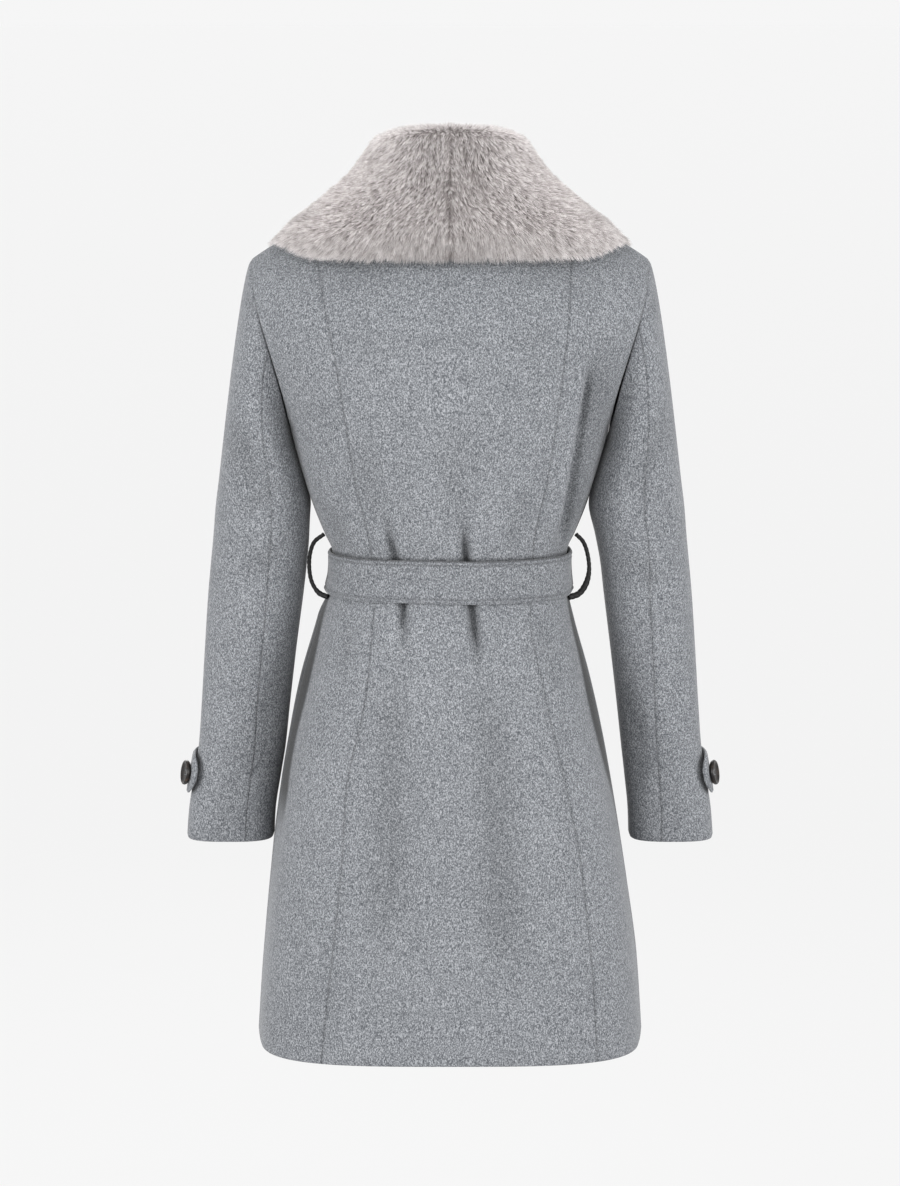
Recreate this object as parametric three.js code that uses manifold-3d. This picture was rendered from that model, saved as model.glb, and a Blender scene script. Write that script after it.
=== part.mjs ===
// A belted winter coat in grey melange wool, filled out as it is when it is worn.
// It has a big fur collar, princess seams, two-piece sleeves with a buttoned cuff
// tab, a tie belt, and cord loops at the side seams that the belt passes through.
//
// Sizes are in millimetres. +Z is up, the wearer faces -Y and the wearer's left is
// +X. The origin is on the neck's axis, level with the top of the shoulder seams.
import * as THREE from "three";
import { mergeVertices } from "three/addons/utils/BufferGeometryUtils.js";
import Module from "manifold-3d";

const wasm = await Module();
wasm.setup();

const left = 1; // the wearer's left, +X
const right = -1;

// Cloth
const clothThickness = 3; // coat-weight wool with its inner finish
const seamGap = 0.5; // between two pieces that are sewn together
const layerGap = 1.1; // between two pieces that only lie on each other
const wrapLift = clothThickness + layerGap; // the right front lies over the left one
const wrapRamp = 42; // the right front lifts over this distance before the edge under it

// Length of the coat, as heights below the origin
const hemHeight = -860;
const beltBottom = -393;
const beltTop = -349;
const beltMiddle = (beltBottom + beltTop) / 2;
const underarmHeight = -222;
const backNeckHeight = -12;
const yokeHeight = -100; // above this the body turns in over the shoulders

// Neck and shoulders
const neckHalfWidth = 70;
const neckBack = 58;
const neckFront = -62;
const neckSide = 8; // the neck point lies a little behind the shoulder's ridge
const frontNeckDrop = -70;
const shoulderTip = 202;
const shoulderDrop = 52;
const armholeBack = 50; // how far the armhole reaches behind the shoulder tip
const armholeFront = 46;

// Body: a row for each height at the centre. side is the height of the same row at
// the side seam or armhole; widths are half widths; square is the exponent of the
// superellipse; shift moves the row to the wearer's left; flare is how much wider
// the side gets on its way to the front.
const bodyTable = table(
  "height side backWidth frontWidth backDepth frontDepth backSquare frontSquare shift flareLeft flareRight",
  [
    [hemHeight, hemHeight, 197.5, 197.5, 137, 140, 3.4, 2.8, 0, 5, 5],
    [-780, -780, 192, 192, 134, 137, 3.6, 2.7, 0, 5, 5],
    [-700, -700, 183, 183, 130, 132, 3.4, 2.6, 1, 6, 4],
    [-640, -640, 174, 174, 126, 128, 3.2, 2.5, 2, 8, 5],
    [-560, -560, 160.5, 160.5, 119, 121, 3.0, 2.4, 3, 9, 6],
    [-480, -480, 141.5, 141.5, 109, 111, 2.8, 2.3, 3, 13, 8],
    [-420, -420, 126, 126, 99, 101, 2.6, 2.2, 3, 11, 7],
    [beltBottom, beltBottom, 121, 121, 93, 95, 2.4, 2.2, 1, 5, 3],
    [beltMiddle, beltMiddle, 119.5, 119.5, 91, 93, 2.4, 2.2, 0, 1, 1],
    [beltTop, beltTop, 121, 121, 92, 94, 2.4, 2.2, 0, 0, 0],
    [-333, -333, 128, 128, 95, 100, 2.4, 2.2, 0, 0, 0],
    [-306, -306, 139, 139, 99, 108, 2.4, 2.2, 0, 0, 0],
    [-270, -270, 150.5, 150.5, 103, 116, 2.4, 2.2, 0, 0, 0],
    [underarmHeight, underarmHeight, 163, 163, 106, 121, 2.4, 2.2, 0, 0, 0],
    [-190, -192, 169, 166, 107, 119, 2.4, 2.2, 0, 0, 0],
    [-150, -156, 178.5, 172, 107, 112, 2.4, 2.2, 0, 0, 0],
    [yokeHeight, -114, 191, 183, 102, 97, 2.4, 2.2, 0, 0, 0],
    [-60, -84, 199, 195, 92, 80, 2.4, 2.2, 0, 0, 0],
    [backNeckHeight, -shoulderDrop, shoulderTip, shoulderTip, 78, 62, 2.4, 2.2, 0, 0, 0],
  ],
);

// Where the seams and the front edge lie, as distances from the centre line. The
// front edge is on its own side where it is positive and past the centre where it
// is negative, which is the wrap.
const seamTable = table("height backLeft backRight front frontEdge", [
  [hemHeight, 131, 150, 122, -88],
  [-800, 125, 147, 118, -87],
  [-648, 107, 133, 104, -85],
  [-583, 102, 121, 98, -84],
  [-477, 81, 97, 88, -82],
  [-398, 75, 83, 77, -80],
  [-340, 80, 84, 78, -66],
  [-270, 96, 98, 92, -8],
  [-210, 105, 107, 100, 14],
  [-150, 114, 114, 105, 32],
  [yokeHeight, 123, 119, 112, 47],
  [-49, 134, 122, 122, 61],
  [backNeckHeight, 140, 128, 134, neckHalfWidth],
]);

// Folds: a row for each. topX and bottomX are the fold's distances from the centre
// line, to the wearer's left; narrow and wide are its widths towards and away from the
// centre. A fold fades out over fade at both of its ends.
const gatherTop = -362; // where the gathers below the belt start, under the belt
const foldRows = namedRows("face topX top bottomX bottom depth narrow wide fade", [
  ["back", 68, -305, 54, -380, 9, 7, 9, 44],
  ["back", 51, gatherTop, 45, -432, 9, 8, 9, 56],
  ["back", -10, -308, -16, -380, 9, 7, 7, 44],
  ["back", -17, gatherTop, -29, -446, 11, 8, 9, 66],
  ["back", -146, -150, -114, -330, 5, 9, 24, 90],
  ["front", 112, -290, 101, -380, 7, 8, 9, 50],
  ["front", 101, gatherTop, 114, -455, 7, 9, 10, 70],
  ["front", -108, -285, -99, -380, 7, 8, 9, 50],
  ["front", -99, gatherTop, -112, -470, 8, 9, 10, 76],
]);

// Sleeves: a row for each level below the armhole. outer and inner are distances
// from the centre line; seam is the angle of the back seam from the inner side.
const sleeveTable = table("height outer innerLeft innerRight middle halfDepth square seamLeft seamRight", [
  [-655, 275, 184, 187, -32, 41, 2.9, 75, 81],
  [-629, 273, 182.5, 186, -31, 41, 2.8, 75, 82],
  [-590, 267, 176.5, 182, -29, 42, 2.6, 75, 83],
  [-560, 262, 171.5, 178.5, -27, 43, 2.5, 75, 84],
  [-511, 258, 166, 173, -24, 45, 2.4, 76, 86],
  [-453, 254, 159, 166, -20, 48, 2.3, 76, 88],
  [-394, 249.5, 151, 158.5, -15, 51, 2.3, 77, 90],
  [-364, 246.5, 147.5, 155, -13, 53, 2.3, 78, 92],
  [-335, 243.5, 145, 149.5, -11, 55, 2.3, 78, 94],
  [-306, 241, 144.5, 144, -10, 57, 2.3, 79, 95],
  [-275, 238, 152.5, 152, -9, 60, 2.3, 80, 95],
  [-250, 236, 159, 159, -8, 61, 2.3, 80, 95],
]);
const bicepHeight = -250;
const cuffHeight = -655;
const frontSleeveSeam = 290; // degrees round the sleeve from its inner side
const armholeStep = 1.9; // sideways gap between the body and the sleeve

// Cuff tabs and their buttons. start and end are degrees round the sleeve; rounded is
// the round end's share of the length and bluntEnd the share of the width it ends in.
const tab = {
  height: -586, width: 42, thickness: 4, start: 282, end: 137, lift: 5, rounded: 0.17, bluntEnd: 0.28,
};
const button = { angle: 160, radius: 13, thickness: 5, rim: 2, holeRadius: 1.3, holeOffset: 3.2 };

// Belt
const beltThickness = 4;
const beltGap = 1.1;
const knot = { x: 34, width: 50, height: 58, depth: 27 };
const tailNeck = 15; // a tail's half width where it comes out of the knot
const tailRise = 6; // and how far it stands off there
const tails = [
  { name: "belt_tail_under", topX: 46, endX: 84, length: 262, lift: 1.8, over: 0, drop: 3.8 },
  { name: "belt_tail_over", topX: 24, endX: 14, length: 318, lift: 1.8, over: 6, drop: 4.5 },
];

// Belt loops: the cord leaves the side seam above the belt and comes back to it
// below. The route between is given as distances from the centre line and heights.
const loopCord = 3.6; // diameter
const loopDepth = 15; // the loops stand a little behind the side seam
const loopTurn = 0.9;
const loopSeat = 1.3; // from the cloth to the cord's middle where it is sewn on
const loopHeights = [-331, -397];
const loopRoutes = {
  left: [[139, -340], [143.5, -353], [144, -370], [141, -383], [134.5, -392.5]],
  right: [[136.5, -340], [141, -353], [142.5, -370], [139, -384], [132, -393.5]],
};

// Collar: a row for each section, from the centre back to the end of the lapel. neck
// is where it is sewn on, in degrees round the back neckline, and past the neck point
// seam is the height on the front edge. roll is its highest line and edge its outer
// edge. radius is the roll's, and stand and fall are thicknesses with the fur. dip is
// how far the fall bends in below the roll, swell how far it bends out near the edge.
const collarTable = table(
  "along neck seam rollX rollY rollZ edgeX edgeY edgeZ radius stand fall dip swell",
  [
    [0, 0, -12, 0, 68, 89, 0, 112, -47, 17, 9, 13, 2, 2],
    [0.14, 27, -12, 33, 60, 86.5, 66, 105, -47, 17, 9, 13, 3, 2],
    [0.28, 60, -12, 52, 34, 77, 140, 80, -44, 16, 9, 12.5, 6, 1],
    [0.38, 90, -12, 58.5, 6, 68, 183, 24, -29, 15, 9, 11, 8, 1],
    [0.44, 90, -23, 60, -15, 59, 187, -14, -34, 14, 8.5, 11, 8, 1],
    [0.5, 90, -34, 59, -36, 42, 186, -54, -60, 13, 8, 11, 7, 3],
    [0.62, 90, -60, 53, -72, -14, 170, -94, -118, 11, 6, 11.5, 5, 5],
    [0.75, 90, -104, 41, -104, -88, 138, -114, -172, 10, 4, 12, 3, 3],
    [0.88, 90, -162, 22, -124, -152, 98, -134, -236, 9, 3, 11.5, 2, 2],
    [1, 90, -216, 4, -131, -208, 56, -136, -284, 8.5, 3, 11, 1, 1],
    [1.09, 90, -285, -28, -134, -273, 8, -138, -318, 8, 3, 10, 0, 0],
    [1.16, 90, -328, -60, -118, -320, -42, -127, -337, 6.5, 3, 9, 0, 0],
  ],
);
const seamLiftHeight = 1.6; // the collar's seam stands this far off the cloth
const fallShape = namedRows("share dips swells wall", [
  [0.3, 1, 0, 1],
  [0.55, 0.6, 0, 1],
  [0.8, 0, 0.8, 1],
  [0.94, 0, 0.9, 0.9],
  [1, 0, 0, 0.55],
]); // at a share of the fall, the shares of its dip, its swell and its thickness
const lapelEnd = { left: 1, right: 1.16 }; // the right one runs on along its front edge

// Rows as objects, their fields named in the heading.
function namedRows(heading, rows) {
  const names = heading.split(" ");
  return rows.map((row) => Object.fromEntries(names.map((name, i) => [name, row[i]])));
}

// Reads a table whose columns are named in its heading. Rows run upwards or along.
function table(heading, rows) {
  const names = heading.split(" ");
  const sorted = [...rows].sort((a, b) => a[0] - b[0]);
  const at = sorted.map((row) => row[0]);
  const curves = {};
  names.forEach((name, i) => {
    curves[name] = smoothCurve(at, sorted.map((row) => row[i]));
  });
  return curves;
}

// A smooth curve through the points that never swings past them (monotone cubic).
function smoothCurve(xs, ys) {
  const steps = xs.slice(1).map((x, i) => x - xs[i]);
  const slopes = steps.map((step, i) => (ys[i + 1] - ys[i]) / step);
  const tangents = xs.map((_, i) => {
    if (i === 0) return slopes[0];
    if (i === xs.length - 1) return slopes[i - 1];
    const [a, b] = [slopes[i - 1], slopes[i]];
    if (a * b <= 0) return 0;
    const [wa, wb] = [2 * steps[i] + steps[i - 1], steps[i] + 2 * steps[i - 1]];
    return (wa + wb) / (wa / a + wb / b);
  });
  return (x) => {
    const held = clamp(x, xs[0], xs[xs.length - 1]);
    let i = 0;
    while (i < steps.length - 1 && held > xs[i + 1]) i += 1;
    const s = (held - xs[i]) / steps[i];
    const [s2, s3] = [s * s, s * s * s];
    return (
      (2 * s3 - 3 * s2 + 1) * ys[i] +
      (s3 - 2 * s2 + s) * steps[i] * tangents[i] +
      (3 * s2 - 2 * s3) * ys[i + 1] +
      (s3 - s2) * steps[i] * tangents[i + 1]
    );
  };
}

function clamp(value, low, high) {
  return Math.min(high, Math.max(low, value));
}

function mix(a, b, share) {
  return a + (b - a) * share;
}

function smoothStep(from, to, value) {
  const s = clamp((value - from) / (to - from), 0, 1);
  return s * s * (3 - 2 * s);
}

function signedPower(value, exponent) {
  return Math.sign(value) * Math.abs(value) ** exponent;
}

function radians(degrees) {
  return (degrees * Math.PI) / 180;
}

// A line of points with a reader that goes by the share of its length, and another
// that gives the share at which the line reaches a distance x from the centre.
function measuredLine(points) {
  const along = [0];
  for (let i = 1; i < points.length; i += 1) {
    along.push(along[i - 1] + points[i].distanceTo(points[i - 1]));
  }
  const length = along[along.length - 1];
  const pointAt = (share) => {
    const target = clamp(share, 0, 1) * length;
    let i = 0;
    while (i < points.length - 2 && along[i + 1] < target) i += 1;
    const s = (target - along[i]) / (along[i + 1] - along[i]);
    return points[i].clone().lerp(points[i + 1], s);
  };
  const shareAt = (x) => {
    let i = 0;
    while (i < points.length - 2 && points[i + 1].x < x) i += 1;
    const s = clamp((x - points[i].x) / (points[i + 1].x - points[i].x), 0, 1);
    return mix(along[i], along[i + 1], s) / length;
  };
  return { length, pointAt, shareAt };
}

// How far the armhole's ellipse reaches at a height, from 0 at its ends to 1.
function armholeReach(height) {
  const middle = (underarmHeight + backNeckHeight) / 2;
  const half = (backNeckHeight - underarmHeight) / 2;
  return Math.sqrt(Math.max(0, 1 - ((height - middle) / half) ** 2));
}

const lineSteps = 72;
const frontStart = 1.000001; // the front's turn at the side seam, where the back's is 1

// The neckline and then the shoulder seam: the top edge of the front or the back.
function topLine(isBack) {
  const points = [];
  const neckShare = 0.4;
  for (let i = 0; i <= lineSteps; i += 1) {
    const share = i / lineSteps;
    if (share < neckShare) {
      const turn = (share / neckShare) * (Math.PI / 2);
      const depth = isBack ? neckBack : neckFront;
      const drop = isBack ? backNeckHeight : frontNeckDrop;
      points.push(
        new THREE.Vector3(
          neckHalfWidth * Math.sin(turn),
          neckSide + (depth - neckSide) * Math.cos(turn),
          drop * Math.cos(turn) ** 2,
        ),
      );
    } else {
      const s = (share - neckShare) / (1 - neckShare);
      points.push(
        new THREE.Vector3(
          mix(neckHalfWidth, shoulderTip, s),
          neckSide * (1 - s) + (isBack ? seamGap : -seamGap) / 2,
          -shoulderDrop * (0.55 * s + 0.45 * s ** 3),
        ),
      );
    }
  }
  return measuredLine(points);
}

const topLines = { back: topLine(true), front: topLine(false) };
const rowCache = new Map();

// One row of the body, from the centre to the side: a superellipse below the yoke,
// which turns into the neckline and the shoulder seam above it.
function bodyRow(height, isBack) {
  const key = `${height}${isBack}`;
  if (rowCache.has(key)) return rowCache.get(key);
  const width = (isBack ? bodyTable.backWidth : bodyTable.frontWidth)(height);
  const depth = (isBack ? bodyTable.backDepth : bodyTable.frontDepth)(height);
  const square = (isBack ? bodyTable.backSquare : bodyTable.frontSquare)(height);
  const inArmhole = height > underarmHeight ? armholeReach(height) : 0;
  const edge = inArmhole * (isBack ? armholeBack : armholeFront);
  const drop = bodyTable.side(height) - height;
  const facing = isBack ? 1 : -1;
  const lastTurn = Math.acos((edge / depth) ** (square / 2));
  const fullWidth = width / Math.sin(lastTurn) ** (2 / square);
  const section = [];
  for (let i = 0; i <= lineSteps; i += 1) {
    const turn = (i / lineSteps) * lastTurn;
    const x = fullWidth * Math.sin(turn) ** (2 / square);
    const y = facing * depth * Math.max(0, Math.cos(turn)) ** (2 / square);
    section.push(new THREE.Vector3(x, y, height + drop * (x / width) ** 2));
  }
  const plain = measuredLine(section);
  const yoke = clamp((height - yokeHeight) / (backNeckHeight - yokeHeight), 0, 1) ** 1.6;
  const top = isBack ? topLines.back : topLines.front;
  const blended = section.map((_, i) => {
    const share = i / lineSteps;
    return plain.pointAt(share).lerp(top.pointAt(share), yoke);
  });
  const row = measuredLine(blended);
  rowCache.set(key, row);
  return row;
}

// How deep the folds push the cloth in at a point of the body.
function foldDepth(point, isBack) {
  let depth = 0;
  for (const fold of foldRows) {
    if ((fold.face === "back") !== isBack) continue;
    const down = (point.z - fold.top) / (fold.bottom - fold.top);
    const away = point.x - mix(fold.topX, fold.bottomX, down);
    const width = (away > 0) === (fold.topX > 0) ? fold.wide : fold.narrow;
    const fadesIn = smoothStep(fold.top + fold.fade / 2, fold.top - fold.fade / 2, point.z);
    const fadesOut = smoothStep(fold.bottom - fold.fade / 2, fold.bottom + fold.fade / 2, point.z);
    depth += fold.depth * fadesIn * fadesOut * Math.exp(-((away / width) ** 2));
  }
  return depth;
}

// A point of the body. turn runs from 0 at the centre back over 1 at the side to 2
// at the centre front and on past it; its sign is the wearer's side.
function bodyPoint(height, turn, { folds = true, over = false } = {}) {
  const side = turn < 0 ? right : left;
  const around = Math.abs(turn);
  const isBack = around <= 1;
  const share = isBack ? around : 2 - around;
  const row = bodyRow(height, isBack);
  const point = row.pointAt(Math.abs(share));
  const crossed = share < 0 ? -1 : 1;
  point.x *= side * crossed;
  const flare = side * crossed === left ? bodyTable.flareLeft : bodyTable.flareRight;
  const outwards = smoothStep(0, 0.8, Math.abs(point.x) / bodyTable.backWidth(height));
  point.x += Math.sign(point.x) * flare(height) * smoothStep(55, -45, point.y) * outwards;
  point.x += bodyTable.shift(height);
  const lift = over ? wrapLift * overlap(height, point.x) : 0;
  const inwards = folds ? foldDepth(point, isBack) : 0;
  const push = lift - inwards;
  if (push !== 0) point.addScaledVector(rowNormal(row, share, side, crossed, isBack), push);
  return point;
}

// The horizontal direction out of the body at a place on a row.
function rowNormal(row, share, side, crossed, isBack) {
  const step = 0.01;
  const s = Math.abs(share);
  const a = row.pointAt(Math.max(0, s - step));
  const b = row.pointAt(Math.min(1, s + step));
  const facing = isBack ? 1 : -1;
  const normal = new THREE.Vector3(-(b.y - a.y) * facing, (b.x - a.x) * facing, 0).normalize();
  if (s < 2 * step) normal.set(normal.x * (s / (2 * step)), normal.y, 0).normalize();
  normal.x *= side * crossed;
  return normal;
}

// From 0 to 1 where the right front lies over the left one.
function overlap(height, x) {
  const underEdge = seamTable.frontEdge(height);
  return smoothStep(underEdge - wrapRamp, underEdge - wrapRamp / 2, x);
}

// The normal of any surface given as a function of two parameters.
function surfaceNormal(surface, u, v, bounds, outwards) {
  const { du, dv, minU, maxU, minV, maxV } = bounds;
  const alongU = surface(Math.min(maxU, u + du), v).sub(surface(Math.max(minU, u - du), v));
  const alongV = surface(u, Math.min(maxV, v + dv)).sub(surface(u, Math.max(minV, v - dv)));
  const normal = alongU.cross(alongV).normalize();
  return normal.multiplyScalar(outwards);
}

// A closed wall from its outer and inner points, both in rows of the same length.
// ring joins the last column to the first.
function wall(outer, inner, ring = false) {
  const rows = outer.length;
  const columns = outer[0].length;
  const positions = [...outer.flat(), ...inner.flat()].flatMap((p) => [p.x, p.y, p.z]);
  const index = [];
  const at = (layer, i, j) => layer * rows * columns + i * columns + (j % columns);
  const quad = (a, b, c, d) => index.push(a, b, c, a, c, d);
  const lastColumn = ring ? columns : columns - 1;
  for (let i = 0; i < rows - 1; i += 1) {
    for (let j = 0; j < lastColumn; j += 1) {
      quad(at(0, i, j), at(0, i, j + 1), at(0, i + 1, j + 1), at(0, i + 1, j));
      quad(at(1, i, j), at(1, i + 1, j), at(1, i + 1, j + 1), at(1, i, j + 1));
    }
    if (!ring) {
      quad(at(0, i, 0), at(0, i + 1, 0), at(1, i + 1, 0), at(1, i, 0));
      const j = columns - 1;
      quad(at(0, i, j), at(1, i, j), at(1, i + 1, j), at(0, i + 1, j));
    }
  }
  for (let j = 0; j < lastColumn; j += 1) {
    quad(at(0, 0, j), at(1, 0, j), at(1, 0, j + 1), at(0, 0, j + 1));
    const i = rows - 1;
    quad(at(0, i, j), at(0, i, j + 1), at(1, i, j + 1), at(1, i, j));
  }
  const geometry = new THREE.BufferGeometry();
  geometry.setAttribute("position", new THREE.Float32BufferAttribute(positions, 3));
  geometry.setIndex(volumeOf(positions, index) < 0 ? turnedRound(index) : index);
  geometry.computeVertexNormals();
  return geometry;
}

function volumeOf(positions, index) {
  const corner = (i) => new THREE.Vector3().fromArray(positions, 3 * i);
  let volume = 0;
  for (let i = 0; i < index.length; i += 3) {
    const [a, b, c] = [corner(index[i]), corner(index[i + 1]), corner(index[i + 2])];
    volume += a.dot(b.cross(c)) / 6;
  }
  return volume;
}

function turnedRound(index) {
  const turned = [];
  for (let i = 0; i < index.length; i += 3) turned.push(index[i], index[i + 2], index[i + 1]);
  return turned;
}

const wool = { color: 0x969a9f, roughness: 0.95, metalness: 0 };
const beltWool = { color: 0x8f9398, roughness: 0.95, metalness: 0 };
const fur = { color: 0xb3aeac, roughness: 1, metalness: 0 };
const darkCord = { color: 0x2b2b2d, roughness: 0.8, metalness: 0 };
const horn = { color: 0x2e2a29, roughness: 0.35, metalness: 0 };

function piece(name, geometry, finish) {
  const mesh = new THREE.Mesh(geometry, new THREE.MeshStandardMaterial(finish));
  mesh.name = name;
  return mesh;
}

// Heights of the rows that all body panels share, closest round the waist.
const bodyHeights = [
  hemHeight, -790, -720, -650, -585, -525, -475, -440, -415, -400, -386, beltMiddle, -356, -343,
  -330, -312, -288, -258, underarmHeight, -216, -200, -178, -150, -118, -88, -60, -36, backNeckHeight,
];

// Where a panel's columns lie across it: evenly spread, with more round each gather.
function panelShares(from, to, columns) {
  const isBack = Math.abs(from + to) / 2 <= 1;
  const { length, shareAt } = bodyRow(beltMiddle, isBack);
  const panelWidth = Math.abs(to - from) * length;
  let shares = Array.from({ length: columns + 1 }, (_, i) => i / columns);
  for (const fold of foldRows) {
    if ((fold.face === "back") !== isBack || fold.top !== gatherTop) continue;
    const side = Math.sign(fold.topX);
    const turn = side * (isBack ? shareAt(Math.abs(fold.topX)) : 2 - shareAt(Math.abs(fold.topX)));
    const centre = (turn - from) / (to - from);
    if (centre < 0.05 || centre > 0.95) continue;
    const step = fold.wide / panelWidth;
    shares = shares.filter((share) => share === 0 || share === 1 || Math.abs(share - centre) > 2.4 * step);
    shares.push(...[-1.7, -0.8, 0, 0.8, 1.7].map((steps) => centre + steps * step));
  }
  return shares.sort((a, b) => a - b);
}

// The direction out of a body panel, which leans over to up at the shoulder seam.
function panelNormal(height, turn, isBack, side, options = { folds: false }) {
  const nearest = side > 0 ? frontStart : -4;
  const edge = isBack ? { minV: -1, maxV: 1 } : { minV: nearest, maxV: side > 0 ? 4 : -frontStart };
  const bounds = { du: 1.5, dv: 0.012, minU: hemHeight, maxU: backNeckHeight, ...edge };
  const surface = (u, v) => bodyPoint(u, v, options);
  const normal = surfaceNormal(surface, height, turn, bounds, 1);
  const onShoulder = new THREE.Vector3(Math.sign(normal.x) * 0.3, 0, 0.95);
  return normal.lerp(onShoulder, smoothStep(-40, backNeckHeight, height)).normalize();
}

// A body panel between two edges, each a function that gives the turn at a height.
function bodyPanel(name, from, to, columns, options = {}) {
  const shares = panelShares(from(beltMiddle), to(beltMiddle), columns);
  const outer = [];
  const inner = [];
  for (const height of bodyHeights) {
    const isBack = Math.abs(from(height) + to(height)) / 2 <= 1;
    const rowLength = bodyRow(height, isBack).length;
    const trim = seamGap / 2 / rowLength;
    const start = from(height) + trim;
    const end = to(height) - trim;
    const side = Math.sign(start + end);
    const outerRow = [];
    const innerRow = [];
    for (const share of shares) {
      const turn = mix(start, end, share);
      const normal = panelNormal(height, turn, isBack, side, options);
      const point = bodyPoint(height, turn, options);
      outerRow.push(point);
      innerRow.push(point.clone().addScaledVector(normal, -clothThickness));
    }
    outer.push(outerRow);
    inner.push(innerRow);
  }
  return piece(name, wall(outer, inner), wool);
}

// The turn at which a back seam, a front seam or the front edge lies.
function backSeamTurn(side) {
  const seam = side === left ? seamTable.backLeft : seamTable.backRight;
  return (height) => side * bodyRow(height, true).shareAt(seam(height));
}

function frontTurn(side, distance) {
  return (height) => {
    const x = distance(height);
    return side * (2 - Math.sign(x) * bodyRow(height, false).shareAt(Math.abs(x)));
  };
}

function body() {
  const group = new THREE.Group();
  const leftSeam = backSeamTurn(left);
  const rightSeam = backSeamTurn(right);
  const leftFront = frontTurn(left, seamTable.front);
  const rightFront = frontTurn(right, seamTable.front);
  const over = { over: true };
  group.add(
    bodyPanel("back_centre", rightSeam, leftSeam, 15),
    bodyPanel("back_side_left", leftSeam, () => left, 7),
    bodyPanel("back_side_right", () => right, rightSeam, 8),
    bodyPanel("front_side_left", () => left * frontStart, leftFront, 6),
    bodyPanel("front_side_right", rightFront, () => right * frontStart, 6, over),
    bodyPanel("front_left", leftFront, frontTurn(left, seamTable.frontEdge), 10),
    bodyPanel("front_right", frontTurn(right, seamTable.frontEdge), rightFront, 10, over),
  );
  return group;
}

// A point of the sleeve's ring below the armhole. angle is in degrees from the
// inner side over the back.
function sleeveRing(side, height, angle) {
  const outer = sleeveTable.outer(height);
  const inner = (side === left ? sleeveTable.innerLeft : sleeveTable.innerRight)(height);
  const bend = 2 / sleeveTable.square(height);
  const halfWidth = (outer - inner) / 2;
  const x = (outer + inner) / 2 - halfWidth * signedPower(Math.cos(radians(angle)), bend);
  const reach = sleeveTable.halfDepth(height) * signedPower(Math.sin(radians(angle)), bend);
  return new THREE.Vector3(side * x, sleeveTable.middle(height) + reach, height);
}

// A point of the sleeve. along runs from 0 at the armhole to 1 at the bicep, and is
// a height below the bicep when it is negative.
function sleevePoint(side, along, angle) {
  if (along < 0) return sleeveRing(side, along, angle);
  const round = ((angle % 360) + 360) % 360;
  const middle = (underarmHeight + backNeckHeight) / 2;
  const half = (backNeckHeight - underarmHeight) / 2;
  const height = middle - half * Math.cos(radians(round));
  const turn = round <= 180 ? side : side * frontStart;
  const start = bodyPoint(clamp(height, underarmHeight, backNeckHeight), turn, { folds: false });
  start.x += side * armholeStep;
  const end = sleeveRing(side, bicepHeight, angle);
  const upwards = end.clone().sub(sleeveRing(side, bicepHeight - 2, angle)).multiplyScalar(0.5);
  const distance = start.distanceTo(end);
  const sideways = 0.5 - 0.22 * Math.cos(radians(round)); // more over the shoulder
  const leave = new THREE.Vector3(side * sideways, 0, -Math.sqrt(1 - sideways ** 2));
  const first = start.clone().addScaledVector(leave, Math.min(18, 0.25 * distance));
  const second = end.clone().addScaledVector(upwards, 0.34 * distance);
  const s = along;
  return start
    .multiplyScalar((1 - s) ** 3)
    .addScaledVector(first, 3 * s * (1 - s) ** 2)
    .addScaledVector(second, 3 * s * s * (1 - s))
    .addScaledVector(end, s ** 3);
}

// The direction of the sleeve's wall. At the armhole it is the body's, so that the
// two edges lie face to face, except at the underarm, where the walls part.
function sleeveNormal(side, along, angle) {
  const own = sleeveSurfaceNormal(side, along, angle);
  const blendEnd = 0.2;
  if (along < 0 || along >= blendEnd) return own;
  const round = radians(angle);
  const middle = (underarmHeight + backNeckHeight) / 2;
  const half = (backNeckHeight - underarmHeight) / 2;
  const height = clamp(middle - half * Math.cos(round), underarmHeight, backNeckHeight);
  const isBack = ((angle % 360) + 360) % 360 <= 180;
  const bodySide = panelNormal(height, side * (isBack ? 1 : frontStart), isBack, side);
  const share = (1 - along / blendEnd) * (1 - smoothStep(0.45, 0.95, Math.cos(round)));
  return own.lerp(bodySide, share).normalize();
}

function sleeveSurfaceNormal(side, along, angle) {
  const surface = (u, v) => sleevePoint(side, u, v);
  const inCap = along >= 0;
  const bounds = inCap
    ? { du: 0.03, dv: 2, minU: 0, maxU: 1, minV: -720, maxV: 720 }
    : { du: 2, dv: 2, minU: cuffHeight, maxU: bicepHeight, minV: -720, maxV: 720 };
  return surfaceNormal(surface, along, angle, bounds, side * (inCap ? -1 : 1));
}

const sleeveRows = [
  0, 0.14, 0.32, 0.52, 0.75, bicepHeight, -278, -306, -340, -385, -430, -480, -530, -570, -612, cuffHeight,
];

function sleevePanel(name, side, from, to, columns) {
  const outer = [];
  const inner = [];
  for (const along of sleeveRows) {
    const height = along < 0 ? along : bicepHeight;
    const degreesPerGap = (seamGap / 2 / 50) * (180 / Math.PI);
    const start = from(height) + degreesPerGap;
    const end = to(height) - degreesPerGap;
    const outerRow = [];
    const innerRow = [];
    for (let j = 0; j <= columns; j += 1) {
      const angle = mix(start, end, j / columns);
      const point = sleevePoint(side, along, angle);
      const normal = sleeveNormal(side, along, angle);
      outerRow.push(point);
      innerRow.push(point.clone().addScaledVector(normal, -clothThickness));
    }
    outer.push(outerRow);
    inner.push(innerRow);
  }
  return piece(name, wall(outer, inner), wool);
}

// How far the tab stands off the sleeve, which is more towards its buttoned end.
function tabLift(share) {
  return layerGap + tab.lift * smoothStep(0.72, 1, share);
}

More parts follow.
